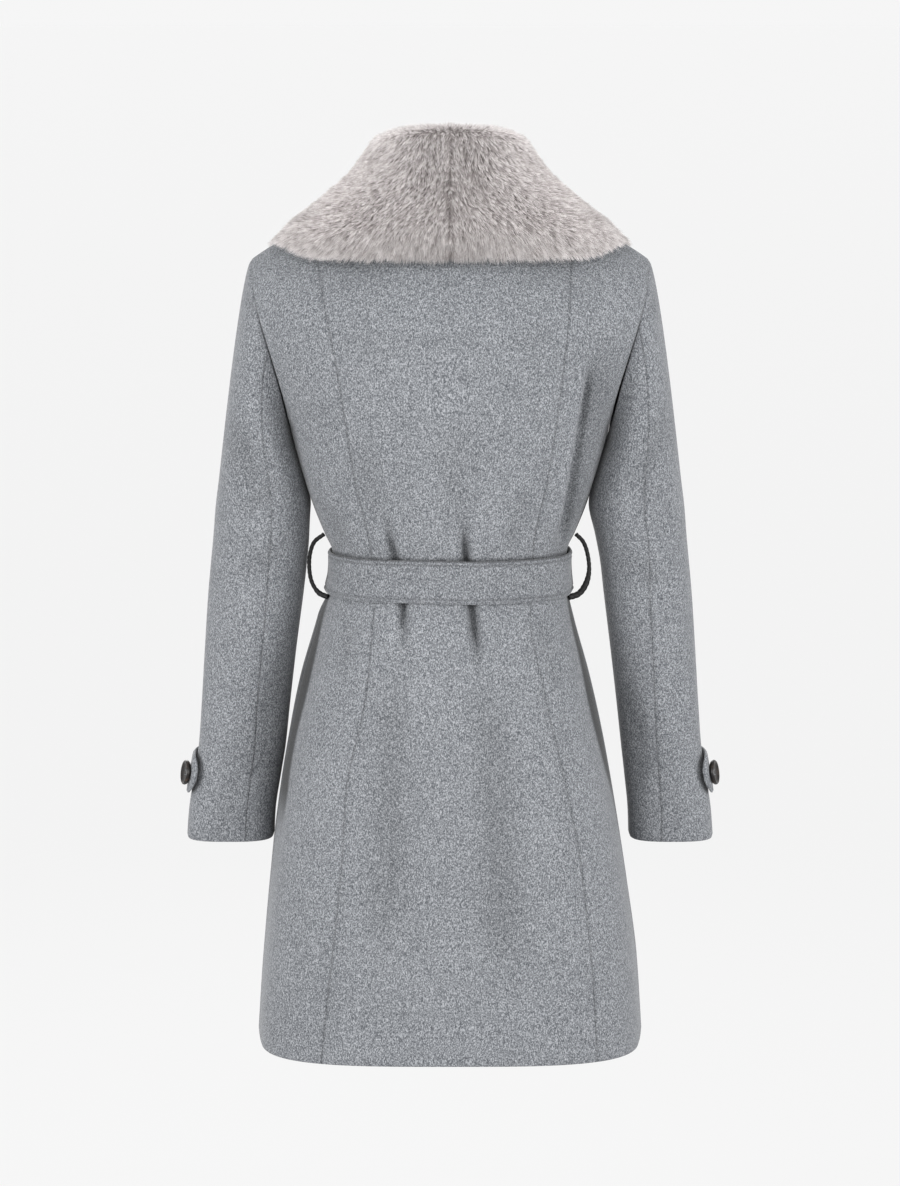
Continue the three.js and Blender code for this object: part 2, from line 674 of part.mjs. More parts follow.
// The cuff tab: a strap with a rounded end that lies round the sleeve's outer side.
function cuffTab(name, side) {
  const columns = 13;
  const acrossSteps = 3;
  const outer = [];
  const inner = [];
  for (let i = 0; i <= columns; i += 1) {
    const share = 1 - (1 - i / columns) ** 1.4;
    const angle = mix(tab.start, tab.end, share);
    const past = clamp((share - 1 + tab.rounded) / tab.rounded, 0, 1);
    const halfWidth = (tab.width / 2) * Math.max(tab.bluntEnd, Math.sqrt(1 - past * past));
    const lift = tabLift(share);
    const outerRow = [];
    const innerRow = [];
    for (let j = 0; j <= acrossSteps; j += 1) {
      const height = tab.height + mix(-halfWidth, halfWidth, j / acrossSteps);
      const normal = sleeveNormal(side, height, angle);
      const foot = sleevePoint(side, height, angle);
      innerRow.push(foot.clone().addScaledVector(normal, lift));
      outerRow.push(foot.clone().addScaledVector(normal, lift + tab.thickness));
    }
    outer.push(outerRow);
    inner.push(innerRow);
  }
  return piece(name, wall(outer, inner), wool);
}

function toManifold(geometry) {
  const bare = geometry.clone();
  bare.deleteAttribute("normal");
  bare.deleteAttribute("uv");
  const merged = mergeVertices(bare, 1e-4);
  const mesh = new wasm.Mesh({
    numProp: 3,
    vertProperties: new Float32Array(merged.attributes.position.array),
    triVerts: new Uint32Array(merged.index.array),
  });
  return new wasm.Manifold(mesh);
}

function fromManifold(solid) {
  const mesh = solid.getMesh();
  const geometry = new THREE.BufferGeometry();
  geometry.setAttribute("position", new THREE.BufferAttribute(mesh.vertProperties, 3));
  geometry.setIndex(new THREE.BufferAttribute(mesh.triVerts, 1));
  geometry.computeVertexNormals();
  return geometry;
}

// A dished button with a raised rim and four holes, facing +Y before it is placed.
function buttonGeometry() {
  const { radius, thickness, rim, holeRadius, holeOffset } = button;
  const profile = [
    [0, 0],
    [radius - 2.5, 0],
    [radius, thickness * 0.4],
    [radius, thickness * 0.75],
    [radius - 1, thickness],
    [radius - rim - 1, thickness * 0.9],
    [radius - rim - 3, thickness * 0.6],
    [0, thickness * 0.55],
  ].map(([x, y]) => new THREE.Vector2(x, y));
  let solid = toManifold(new THREE.LatheGeometry(profile, 16));
  for (const [x, z] of [[1, 1], [1, -1], [-1, 1], [-1, -1]]) {
    const drill = new THREE.CylinderGeometry(holeRadius, holeRadius, 3 * thickness, 6);
    drill.translate((x * holeOffset) / Math.SQRT2, 0, (z * holeOffset) / Math.SQRT2);
    solid = solid.subtract(toManifold(drill));
  }
  return fromManifold(solid);
}

function cuffButton(name, side) {
  const mesh = piece(name, buttonGeometry(), horn);
  const normal = sleeveNormal(side, tab.height, button.angle);
  const seat = 0.4;
  const crown = 0.8; // the tab curves away under the button's rim
  const share = (tab.start - button.angle) / (tab.start - tab.end);
  const foot = sleevePoint(side, tab.height, button.angle);
  mesh.position.copy(foot).addScaledVector(normal, tabLift(share) + tab.thickness + seat + crown);
  mesh.quaternion.setFromUnitVectors(new THREE.Vector3(0, 1, 0), normal);
  return mesh;
}

function sleeve(side) {
  const word = side === left ? "left" : "right";
  const group = new THREE.Group();
  const backSeam = side === left ? sleeveTable.seamLeft : sleeveTable.seamRight;
  group.add(
    sleevePanel(`sleeve_upper_${word}`, side, backSeam, () => frontSleeveSeam, 13),
    sleevePanel(`sleeve_under_${word}`, side, () => frontSleeveSeam - 360, backSeam, 9),
    cuffTab(`cuff_tab_${word}`, side),
    cuffButton(`cuff_button_${word}`, side),
  );
  return group;
}

// A point outside the body, clear of both front layers.
function overBody(height, turn, lift) {
  const surface = (u, v) => bodyPoint(u, v, { folds: false });
  const bounds = { du: 1.5, dv: 0.012, minU: hemHeight, maxU: backNeckHeight, minV: -4, maxV: 4 };
  const normal = surfaceNormal(surface, height, turn, bounds, 1);
  const point = surface(height, turn);
  const aroundFront = Math.abs(turn) > 1 ? overlapBothWays(height, point.x) : 0;
  return point.addScaledVector(normal, lift + wrapLift * aroundFront);
}

// From 1 where the fronts overlap, on either side of the centre, to 0 past their edges.
function overlapBothWays(height, x) {
  const past = Math.abs(x) - Math.abs(seamTable.frontEdge(height));
  return 1 - smoothStep(22, 52, past);
}

function beltBand() {
  const columns = 54;
  const outer = [];
  const inner = [];
  for (const share of [0, 0.5, 1]) {
    const outerRow = [];
    const innerRow = [];
    for (let j = 0; j < columns; j += 1) {
      const turn = mix(-2, 2, j / columns);
      const height = mix(beltBottom, beltTop, share);
      innerRow.push(overBody(height, turn, beltGap));
      outerRow.push(overBody(height, turn, beltGap + beltThickness));
    }
    outer.push(outerRow);
    inner.push(innerRow);
  }
  return piece("belt_band", wall(outer, inner, true), beltWool);
}

// The turn of the front at which x is reached.
function frontTurnAt(height, x) {
  const side = x < 0 ? right : left;
  return side * (2 - bodyRow(height, false).shareAt(Math.abs(x)));
}

// The knot: a cushion-shaped lump whose waist is drawn in where the belt wraps it.
function beltKnot() {
  const nearEdge = knot.x - knot.width / 2;
  const face = overBody(beltMiddle, frontTurnAt(beltMiddle, nearEdge), beltGap + beltThickness);
  const rings = 9;
  const columns = 14;
  const positions = [];
  const index = [];
  const centre = new THREE.Vector3(knot.x, face.y - layerGap, beltMiddle);
  for (let i = 0; i <= rings; i += 1) {
    const up = radians(mix(-90, 90, i / rings));
    const level = Math.max(0.02, Math.cos(up) ** 0.7);
    const z = centre.z + (knot.height / 2) * signedPower(Math.sin(up), 0.8);
    const pinch = 1 - 0.12 * Math.exp(-(((z - centre.z - 6) / 9) ** 2));
    for (let j = 0; j < columns; j += 1) {
      const around = (2 * Math.PI * j) / columns;
      const x = centre.x + (knot.width / 2) * level * pinch * signedPower(Math.cos(around), 0.8);
      const rise = 0.5 + 0.5 * signedPower(Math.sin(around), 0.8);
      positions.push(x, centre.y - knot.depth * level * pinch * rise, z);
    }
  }
  for (let i = 0; i < rings; i += 1) {
    for (let j = 0; j < columns; j += 1) {
      const [a, b] = [i * columns + j, i * columns + ((j + 1) % columns)];
      index.push(a, b, b + columns, a, b + columns, a + columns);
    }
  }
  for (let j = 1; j < columns - 1; j += 1) {
    index.push(0, j + 1, j);
    const top = rings * columns;
    index.push(top, top + j, top + j + 1);
  }
  const geometry = new THREE.BufferGeometry();
  geometry.setAttribute("position", new THREE.Float32BufferAttribute(positions, 3));
  geometry.setIndex(volumeOf(positions, index) < 0 ? turnedRound(index) : index);
  geometry.computeVertexNormals();
  return piece("belt_knot", geometry, beltWool);
}

// A loose end of the belt, hanging from under the knot over the front.
function beltTail({ name, topX, endX, length, lift, over, drop }) {
  const rows = 12;
  const across = 3;
  const outer = [];
  const inner = [];
  const top = beltMiddle - knot.height / 2 - drop;
  for (let i = 0; i <= rows; i += 1) {
    const share = i / rows;
    const height = top - length * share;
    const middle = mix(topX, endX, share ** 0.8);
    const halfWidth = mix(tailNeck, (beltTop - beltBottom) / 2, smoothStep(0, 0.25, share));
    const outerRow = [];
    const innerRow = [];
    for (let j = 0; j <= across; j += 1) {
      const x = middle + mix(-halfWidth, halfWidth, j / across);
      const turn = frontTurnAt(height, x);
      const away = lift + tailRise * Math.exp(-9 * share) + over * smoothStep(0.75, 0.45, share);
      innerRow.push(overBody(height, turn, away));
      outerRow.push(overBody(height, turn, away + beltThickness));
    }
    outer.push(outerRow);
    inner.push(innerRow);
  }
  return piece(name, wall(outer, inner), beltWool);
}

// A belt loop: a round cord that stands out from the side seam.
function beltLoop(name, side, route) {
  const [start, end] = loopHeights.map((height) => overBody(height, side * loopTurn, loopSeat));
  const between = route.map(([out, height]) => new THREE.Vector3(side * out, loopDepth, height));
  const curve = new THREE.CatmullRomCurve3([start, ...between, end], false, "centripetal");
  const section = new THREE.Shape();
  section.absarc(0, 0, loopCord / 2, 0, 2 * Math.PI, false);
  const geometry = new THREE.ExtrudeGeometry(section, {
    steps: 12,
    curveSegments: 4,
    bevelEnabled: false,
    extrudePath: curve,
  });
  return piece(name, geometry, darkCord);
}

function belt() {
  const group = new THREE.Group();
  group.add(
    beltBand(),
    beltKnot(),
    ...tails.map(beltTail),
    beltLoop("belt_loop_left", left, loopRoutes.left),
    beltLoop("belt_loop_right", right, loopRoutes.right),
  );
  return group;
}

// Where a section of the collar is sewn on: the back neckline, or the front edge.
function collarSeam(side, along) {
  const neck = collarTable.neck(along);
  if (neck < 89.9) {
    const turn = radians(neck);
    const y = neckSide + (neckBack - neckSide) * Math.cos(turn);
    return new THREE.Vector3(neckHalfWidth * Math.sin(turn), y, backNeckHeight * Math.cos(turn) ** 2);
  }
  const height = collarTable.seam(along);
  const turn = frontTurn(side, seamTable.frontEdge)(height);
  const point = bodyPoint(height, turn, { folds: false, over: side === right });
  point.x *= side;
  return point;
}

// A section of the collar, as two rows of points on its fur side and its under side:
// up the stand, round the roll and down the fall to the edge.
function collarSection(side, along) {
  const at = (name, t) =>
    new THREE.Vector3(collarTable[`${name}X`](t), collarTable[`${name}Y`](t), collarTable[`${name}Z`](t));
  const [roll, edge] = [at("roll", along), at("edge", along)];
  const tangent = at("roll", along + 0.02).sub(at("roll", Math.max(0, along - 0.02)));
  const up = roll.clone().sub(edge).normalize();
  const out = up.clone().cross(tangent).normalize();
  if (along < 0.01) out.setX(0).normalize();
  const { radius, stand, fall, dip, swell } = collarTable;
  const [r, standWall, fallWall] = [radius(along), stand(along), fall(along)];
  const centre = roll.clone().addScaledVector(up, -r);
  const place = (from, outwards, upwards) =>
    from.clone().addScaledVector(out, outwards).addScaledVector(up, upwards);

  const seam = collarSeam(side, along);
  const onNeck = 1 - smoothStep(0.34, 0.46, along);
  const level = new THREE.Vector3(out.x, out.y, 0).normalize();
  const seamLift = new THREE.Vector3(0, 0, seamLiftHeight).multiplyScalar(onNeck);
  seamLift.addScaledVector(up, seamLiftHeight * (1 - onNeck));
  const seamOuter = seam.clone().add(seamLift).addScaledVector(level, 0.25 * standWall * onNeck);
  const seamInner = seamOuter.clone().addScaledVector(level, -standWall);

  const furSide = [seamInner, seamInner.clone().lerp(place(centre, -r, 0), 0.5)];
  const underSide = [seamOuter, seamOuter.clone().lerp(place(centre, -r + standWall, 0), 0.5)];
  const innerRadius = (2 * r - fallWall - standWall) / 2;
  const innerCentre = (standWall - fallWall) / 2;
  for (const degrees of [-90, -40, 0, 40, 90]) {
    const [sine, cosine] = [Math.sin(radians(degrees)), Math.cos(radians(degrees))];
    furSide.push(place(centre, r * sine, r * cosine));
    underSide.push(place(centre, innerCentre + innerRadius * sine, innerRadius * cosine));
  }
  const top = place(centre, r, 0);
  for (const { share, dips, swells, wall: wallShare } of fallShape) {
    const bend = swells * swell(along) - dips * dip(along);
    const point = top.clone().lerp(edge, share).addScaledVector(out, bend);
    const edgeRound = 0.2 * fallWall * (share === 1 ? 1 : 0);
    furSide.push(place(point, -edgeRound, 0));
    underSide.push(place(point, -fallWall * wallShare, 0));
  }
  for (const point of [...furSide, ...underSide]) point.x *= side;
  return { furSide, underSide };
}

function collarHalf(name, side) {
  const sections = 17;
  const end = side === left ? lapelEnd.left : lapelEnd.right;
  const outer = [];
  const inner = [];
  for (let i = 0; i <= sections; i += 1) {
    const { furSide, underSide } = collarSection(side, (end * i) / sections);
    for (const point of [...furSide, ...underSide]) {
      if (side * point.x < seamGap / 2 && i < 2) point.x = (side * seamGap) / 2;
    }
    outer.push(furSide);
    inner.push(underSide);
  }
  return piece(name, wall(outer, inner), fur);
}

const coat = new THREE.Group();
coat.add(body(), sleeve(left), sleeve(right), belt());
coat.add(collarHalf("collar_left", left), collarHalf("collar_right", right));

export default coat;
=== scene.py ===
import math
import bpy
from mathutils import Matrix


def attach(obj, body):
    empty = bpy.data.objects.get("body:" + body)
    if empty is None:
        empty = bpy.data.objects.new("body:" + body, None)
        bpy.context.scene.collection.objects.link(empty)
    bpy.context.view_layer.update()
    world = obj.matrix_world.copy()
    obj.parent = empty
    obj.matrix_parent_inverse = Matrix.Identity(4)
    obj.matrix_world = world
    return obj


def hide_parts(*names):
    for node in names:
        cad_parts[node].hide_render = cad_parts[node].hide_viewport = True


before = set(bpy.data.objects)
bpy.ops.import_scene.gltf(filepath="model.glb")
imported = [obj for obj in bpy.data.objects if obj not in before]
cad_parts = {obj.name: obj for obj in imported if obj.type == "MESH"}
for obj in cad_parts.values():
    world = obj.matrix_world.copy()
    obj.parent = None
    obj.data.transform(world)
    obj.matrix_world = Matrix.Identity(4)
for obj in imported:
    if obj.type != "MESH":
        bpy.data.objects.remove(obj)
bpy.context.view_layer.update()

from types import SimpleNamespace

import bpy
import numpy as np
from mathutils import Vector

# A belted wool coat with a fur collar, worked over from its solids. Shapes are in
# millimetres until they go into a mesh. The wearer's left is +X and the back is +Y.
left, right = 1, -1
millimetre = 0.001


# Numbers and curves

def smoothStep(start, end, value):
    share = np.clip((value - start) / (end - start), 0, 1)
    return share * share * (3 - 2 * share)


def mix(a, b, share):
    return a + (b - a) * share


def signedPower(value, exponent):
    return np.sign(value) * np.abs(value) ** exponent


def unit(vectors):
    return vectors / np.maximum(np.linalg.norm(vectors, axis=-1, keepdims=True), 1e-9)


# A smooth curve through points that never swings past them: cubic pieces whose slope
# at a point is the weighted harmonic mean of the slopes on its two sides.
def smoothCurve(xs, ys):
    xs, ys = np.asarray(xs, float), np.asarray(ys, float)
    steps = np.diff(xs)
    slopes = np.diff(ys) / steps
    before, after = slopes[:-1], slopes[1:]
    weightA = 2 * steps[1:] + steps[:-1]
    weightB = steps[1:] + 2 * steps[:-1]
    sameWay = before * after > 0
    safeBefore = np.where(sameWay, before, 1)
    safeAfter = np.where(sameWay, after, 1)
    harmonic = (weightA + weightB) / (weightA / safeBefore + weightB / safeAfter)
    tangents = np.concatenate([slopes[:1], np.where(sameWay, harmonic, 0), slopes[-1:]])

    def read(x):
        held = np.clip(x, xs[0], xs[-1])
        i = np.clip(np.searchsorted(xs, held) - 1, 0, len(steps) - 1)
        s = (held - xs[i]) / steps[i]
        s2, s3 = s * s, s * s * s
        return ((2 * s3 - 3 * s2 + 1) * ys[i] + (s3 - 2 * s2 + s) * steps[i] * tangents[i]
                + (3 * s2 - 2 * s3) * ys[i + 1] + (s3 - s2) * steps[i] * tangents[i + 1])

    return read


# A table whose columns are named in its heading, each read as a smooth curve over the
# first one.
def table(heading, rows):
    rows = np.array(sorted(rows), float)
    names = heading.split()
    return SimpleNamespace(**{name: smoothCurve(rows[:, 0], rows[:, i]) for i, name in enumerate(names)})


def records(heading, rows):
    return [SimpleNamespace(**dict(zip(heading.split(), row))) for row in rows]


# Points at given shares of the length of each line in an array of lines.
def evenly(lines, shares):
    steps = np.linalg.norm(np.diff(lines, axis=1), axis=2)
    along = np.concatenate([np.zeros((len(lines), 1)), np.cumsum(steps, axis=1)], axis=1)
    result = np.empty((len(lines), len(shares), 3))
    for row, (line, length) in enumerate(zip(lines, along)):
        for axis in range(3):
            result[row, :, axis] = np.interp(shares * length[-1], length, line[:, axis])
    return result, along[:, -1]


# The body's form, as in the solids

cloth = dict(thickness=3.0, seamGap=0.5, layerGap=1.1, wrapRamp=42)
hemHeight, beltBottom, beltTop = -860, -393, -349
beltMiddle = (beltBottom + beltTop) / 2
underarmHeight, backNeckHeight, yokeHeight = -222, -12, -100
neck = dict(halfWidth=70, back=58, front=-62, side=8, frontDrop=-70)
shoulder = dict(tip=202, drop=52, armholeBack=50, armholeFront=46)

bodyTable = table(
    "height side backWidth frontWidth backDepth frontDepth backSquare frontSquare"
    " shift flareLeft flareRight",
    [
        [hemHeight, hemHeight, 197.5, 197.5, 137, 140, 3.4, 2.8, 0, 5, 5],
        [-780, -780, 192, 192, 134, 137, 3.6, 2.7, 0, 5, 5],
        [-700, -700, 183, 183, 130, 132, 3.4, 2.6, 1, 6, 4],
        [-640, -640, 174, 174, 126, 128, 3.2, 2.5, 2, 8, 5],
        [-560, -560, 160.5, 160.5, 119, 121, 3.0, 2.4, 3, 9, 6],
        [-480, -480, 141.5, 141.5, 109, 111, 2.8, 2.3, 3, 13, 8],
        [-420, -420, 126, 126, 99, 101, 2.6, 2.2, 3, 11, 7],
        [beltBottom, beltBottom, 121, 121, 93, 95, 2.4, 2.2, 1, 5, 3],
        [beltMiddle, beltMiddle, 119.5, 119.5, 91, 93, 2.4, 2.2, 0, 1, 1],
        [beltTop, beltTop, 121, 121, 92, 94, 2.4, 2.2, 0, 0, 0],
        [-333, -333, 128, 128, 95, 100, 2.4, 2.2, 0, 0, 0],
        [-306, -306, 139, 139, 99, 108, 2.4, 2.2, 0, 0, 0],
        [-270, -270, 150.5, 150.5, 103, 116, 2.4, 2.2, 0, 0, 0],
        [underarmHeight, underarmHeight, 163, 163, 106, 121, 2.4, 2.2, 0, 0, 0],
        [-190, -192, 169, 166, 107, 119, 2.4, 2.2, 0, 0, 0],
        [-150, -156, 178.5, 172, 107, 112, 2.4, 2.2, 0, 0, 0],
        [yokeHeight, -114, 191, 183, 102, 97, 2.4, 2.2, 0, 0, 0],
        [-60, -84, 199, 195, 92, 80, 2.4, 2.2, 0, 0, 0],
        [backNeckHeight, -52, 202, 202, 78, 62, 2.4, 2.2, 0, 0, 0],
    ],
)

seamTable = table("height backLeft backRight front frontEdge", [
    [hemHeight, 131, 150, 122, -88],
    [-800, 125, 147, 118, -87],
    [-648, 107, 133, 104, -85],
    [-583, 102, 121, 98, -84],
    [-477, 81, 97, 88, -82],
    [-398, 75, 83, 77, -80],
    [-340, 80, 84, 78, -66],
    [-270, 96, 98, 92, -8],
    [-210, 105, 107, 100, 14],
    [-150, 114, 114, 105, 32],
    [yokeHeight, 123, 119, 112, 47],
    [-49, 134, 122, 122, 61],
    [backNeckHeight, 140, 128, 134, 70],
])

# The large folds, as in the solids but drawn closer at the back of the waist. x is a
# fold's distance from the centre line at its top and bottom, narrow and wide are its
# widths towards and away from the centre.
gatherTop = -362
largeFolds = records("face topX top bottomX bottom depth narrow wide fade", [
    ["back", 63, -316, 51, -380, 7, 4.5, 4.5, 44],
    ["back", 49, gatherTop, 46, -428, 7, 4.5, 4.5, 50],
    ["back", -14, -314, -18, -380, 7, 4.5, 4.5, 44],
    ["back", -19, gatherTop, -27, -442, 8, 5, 5.5, 60],
    ["back", -146, -150, -114, -330, 4, 9, 24, 90],
    ["front", 112, -290, 101, -380, 7, 8, 9, 50],
    ["front", 101, gatherTop, 114, -455, 7, 9, 10, 70],
    ["front", -108, -285, -99, -380, 7, 8, 9, 50],
    ["front", -99, gatherTop, -112, -470, 8, 9, 10, 76],
])

# Soft creases that only show close up, along a few points (x, z). A depth below zero
# is a ridge.
bodyCreases = records("face points depth width fade", [
    ["back", [(48, -374), (53, -348), (62, -322)], 3.4, 2.4, 22],
    ["back", [(58, -374), (64, -346), (76, -312)], -2.0, 5.0, 26],
    ["back", [(-18, -374), (-17, -346), (-13, -320)], 3.4, 2.4, 22],
    ["back", [(-28, -374), (-27, -344), (-25, -308)], -1.8, 5.0, 26],
    ["back", [(47, -366), (47, -394), (51, -424)], 3.2, 2.6, 24],
    ["back", [(57, -366), (60, -396), (70, -446)], -1.8, 5.5, 26],
    ["back", [(-19, -366), (-21, -396), (-29, -440)], 3.8, 2.8, 26],
    ["back", [(-30, -366), (-35, -396), (-48, -450)], -2.0, 6, 28],
    ["back", [(-144, -146), (-131, -236), (-115, -345)], 6.5, 3.6, 34],
    ["back", [(-134, -150), (-122, -236), (-106, -340)], -3.2, 5.5, 40],
    ["back", [(62, -330), (84, -270), (92, -212)], 2.4, 15, 46],
    ["back", [(-12, -322), (-4, -262), (-10, -190)], 2.0, 17, 52],
    ["back", [(20, -345), (26, -300), (22, -250)], -1.8, 13, 34],
    ["back", [(-60, -352), (-68, -310), (-86, -262)], 2.0, 9, 34],
    ["back", [(104, -352), (116, -318), (134, -286)], 2.2, 9, 30],
    ["back", [(-106, -352), (-118, -318), (-136, -282)], 2.2, 8, 30],
    ["back", [(96, -396), (104, -430), (112, -480)], 1.8, 8, 34],
    ["back", [(-92, -396), (-98, -432), (-112, -486)], 2.0, 8, 34],
    ["back", [(50, -430), (58, -520), (62, -640), (70, -770)], 3.0, 20, 90],
    ["back", [(-32, -440), (-44, -540), (-52, -680), (-58, -800)], 3.0, 22, 90],
    ["back", [(14, -410), (8, -520), (4, -660)], -2.0, 22, 80],
    ["back", [(-92, -470), (-102, -600), (-112, -760)], -1.8, 20, 90],
    ["back", [(112, -500), (128, -640), (140, -780)], -1.6, 18, 90],
    ["back", [(120, -118), (84, -132), (40, -128)], 1.4, 15, 40],
    ["back", [(-116, -112), (-80, -128), (-42, -124)], 1.4, 14, 36],
    ["front", [(108, -352), (116, -322), (130, -284)], 2.6, 8, 30],
    ["front", [(-104, -352), (-114, -318), (-130, -280)], 2.4, 8, 30],
    ["front", [(104, -396), (112, -436), (116, -500)], 2.2, 9, 34],
    ["front", [(-104, -396), (-110, -440), (-118, -512)], 2.2, 9, 34],
    ["front", [(-20, -350), (-44, -300), (-76, -244)], 2.0, 10, 40],
    ["front", [(-30, -398), (-36, -500), (-44, -640)], 2.6, 18, 70],
    ["front", [(52, -420), (58, -540), (66, -700)], 2.4, 20, 80],
    ["front", [(10, -470), (16, -600), (14, -760)], -2.0, 24, 80],
])

rowHeights = np.linspace(hemHeight, backNeckHeight, 425)
rowShares = np.linspace(0, 1, 97)


# How far the armhole's ellipse reaches at a height, from 0 at its ends to 1.
def armholeReach(height):
    middle = (underarmHeight + backNeckHeight) / 2
    half = (backNeckHeight - underarmHeight) / 2
    return np.sqrt(np.maximum(0, 1 - ((height - middle) / half) ** 2))


# The neckline and then the shoulder seam: the top edge of the front or the back.
def topLine(isBack, shares):
    neckShare = 0.4
    turn = shares / neckShare * math.pi / 2
    depth = neck["back"] if isBack else neck["front"]
    drop = backNeckHeight if isBack else neck["frontDrop"]
    around = np.stack([neck["halfWidth"] * np.sin(turn),
                       neck["side"] + (depth - neck["side"]) * np.cos(turn),
                       drop * np.cos(turn) ** 2], axis=-1)
    s = (shares - neckShare) / (1 - neckShare)
    out = np.stack([mix(neck["halfWidth"], shoulder["tip"], s),
                    neck["side"] * (1 - s) + (cloth["seamGap"] if isBack else -cloth["seamGap"]) / 2,
                    -shoulder["drop"] * (0.55 * s + 0.45 * s ** 3)], axis=-1)
    return np.where((shares < neckShare)[:, None], around, out)


# Every row of the back or the front, from the centre to the side. A row is a quarter of
# a superellipse, cut off at the armhole's edge, and above the yoke it turns into the
# neckline and the shoulder seam.
def bodyRows(isBack):
    face = "back" if isBack else "front"
    width, depth, square = (getattr(bodyTable, face + name)(rowHeights)[:, None]
                            for name in ("Width", "Depth", "Square"))
    reach = np.where(rowHeights > underarmHeight, armholeReach(rowHeights), 0)
    edge = (reach * shoulder["armhole" + face.capitalize()])[:, None]
    lastTurn = np.arccos((edge / depth) ** (square / 2))
    fullWidth = width / np.sin(lastTurn) ** (2 / square)
    shares = np.linspace(0, 1, 73)
    turn = shares * lastTurn
    x = fullWidth * np.sin(turn) ** (2 / square)
    y = (1 if isBack else -1) * depth * np.maximum(0, np.cos(turn)) ** (2 / square)
    drop = (bodyTable.side(rowHeights) - rowHeights)[:, None]
    section = np.stack([x, y, rowHeights[:, None] + drop * (x / width) ** 2], axis=-1)
    plain, _ = evenly(section, shares)
    top, _ = evenly(topLine(isBack, shares)[None], shares)
    yoke = np.clip((rowHeights - yokeHeight) / (backNeckHeight - yokeHeight), 0, 1) ** 1.6
    return evenly(mix(plain, top, yoke[:, None, None]), rowShares)


backRows, backLengths = bodyRows(True)
frontRows, frontLengths = bodyRows(False)


# A point of the rows at any height and share, between the four nearest points.
def readRows(rows, height, share):
    u = np.clip((height - hemHeight) / (backNeckHeight - hemHeight), 0, 1) * (len(rowHeights) - 1)
    v = np.clip(share, 0, 1) * (len(rowShares) - 1)
    i = np.minimum(u.astype(int), len(rowHeights) - 2)
    j = np.minimum(v.astype(int), len(rowShares) - 2)
    a, b = (u - i)[..., None], (v - j)[..., None]
    return (rows[i, j] * (1 - a) * (1 - b) + rows[i, j + 1] * (1 - a) * b
            + rows[i + 1, j] * a * (1 - b) + rows[i + 1, j + 1] * a * b)


def rowLength(height, isBack):
    return np.interp(height, rowHeights, backLengths if isBack else frontLengths)


# The share of a row at which it reaches a distance from the centre line.
def shareAt(height, distance, isBack):
    heights = np.atleast_1d(np.asarray(height, float))
    distances = np.broadcast_to(distance, heights.shape)
    rows = backRows if isBack else frontRows
    lines = readRows(rows, heights[:, None], np.broadcast_to(rowShares, (len(heights), len(rowShares))))
    return np.array([np.interp(d, line[:, 0], rowShares) for d, line in zip(distances, lines)])


# How far a fold pushes the cloth in: a bell curve across it, faded out at its ends.
def foldDepth(points, isBack):
    depth = np.zeros(points.shape[:-1])
    for fold in largeFolds:
        down = (points[..., 2] - fold.top) / (fold.bottom - fold.top)
        away = points[..., 0] - mix(fold.topX, fold.bottomX, down)
        width = np.where((away > 0) == (fold.topX > 0), fold.wide, fold.narrow)
        half = fold.fade / 2
        fade = smoothStep(fold.top + half, fold.top - half, points[..., 2])
        fade = fade * smoothStep(fold.bottom - half, fold.bottom + half, points[..., 2])
        bell = fold.depth * fade * np.exp(-((away / width) ** 2))
        depth += np.where(isBack == (fold.face == "back"), bell, 0)
    return depth


# How far creases push the cloth in: a bell curve of the distance to a line of points in
# the (x, z) plane, faded out at both ends of the line.
def creaseDepth(points, isBack, creases):
    depth = np.zeros(points.shape[:-1])
    flat = points[..., [0, 2]]
    for crease in creases:
        line = np.array(crease.points, float)
        steps = np.linalg.norm(np.diff(line, axis=0), axis=1)
        starts = np.concatenate([[0], np.cumsum(steps)])
        nearest = np.full(depth.shape, 1e9)
        along = np.zeros(depth.shape)
        for a, b, step, start in zip(line[:-1], line[1:], steps, starts):
            share = np.clip(((flat - a) @ (b - a)) / step ** 2, 0, 1)
            distance = np.linalg.norm(flat - (a + share[..., None] * (b - a)), axis=-1)
            along = np.where(distance < nearest, start + share * step, along)
            nearest = np.minimum(distance, nearest)
        fade = smoothStep(0, crease.fade, along) * smoothStep(starts[-1], starts[-1] - crease.fade, along)
        bell = crease.depth * fade * np.exp(-((nearest / crease.width) ** 2))
        depth += np.where(isBack == (crease.face == "back"), bell, 0)
    return depth


# From 0 to 1 where the right front lies over the left one.
def overlap(height, x):
    underEdge = seamTable.frontEdge(height)
    return smoothStep(underEdge - cloth["wrapRamp"], underEdge - cloth["wrapRamp"] / 2, x)


# From 0 to 1 where a cloth laid round the coat has to clear both fronts, on the left and
# the right alike: it fades out past the distance that the front edge reaches.
def overlapBothWays(height, x):
    reach = np.abs(seamTable.frontEdge(height))
    return 1 - smoothStep(reach + 22, reach + 52, np.abs(x))


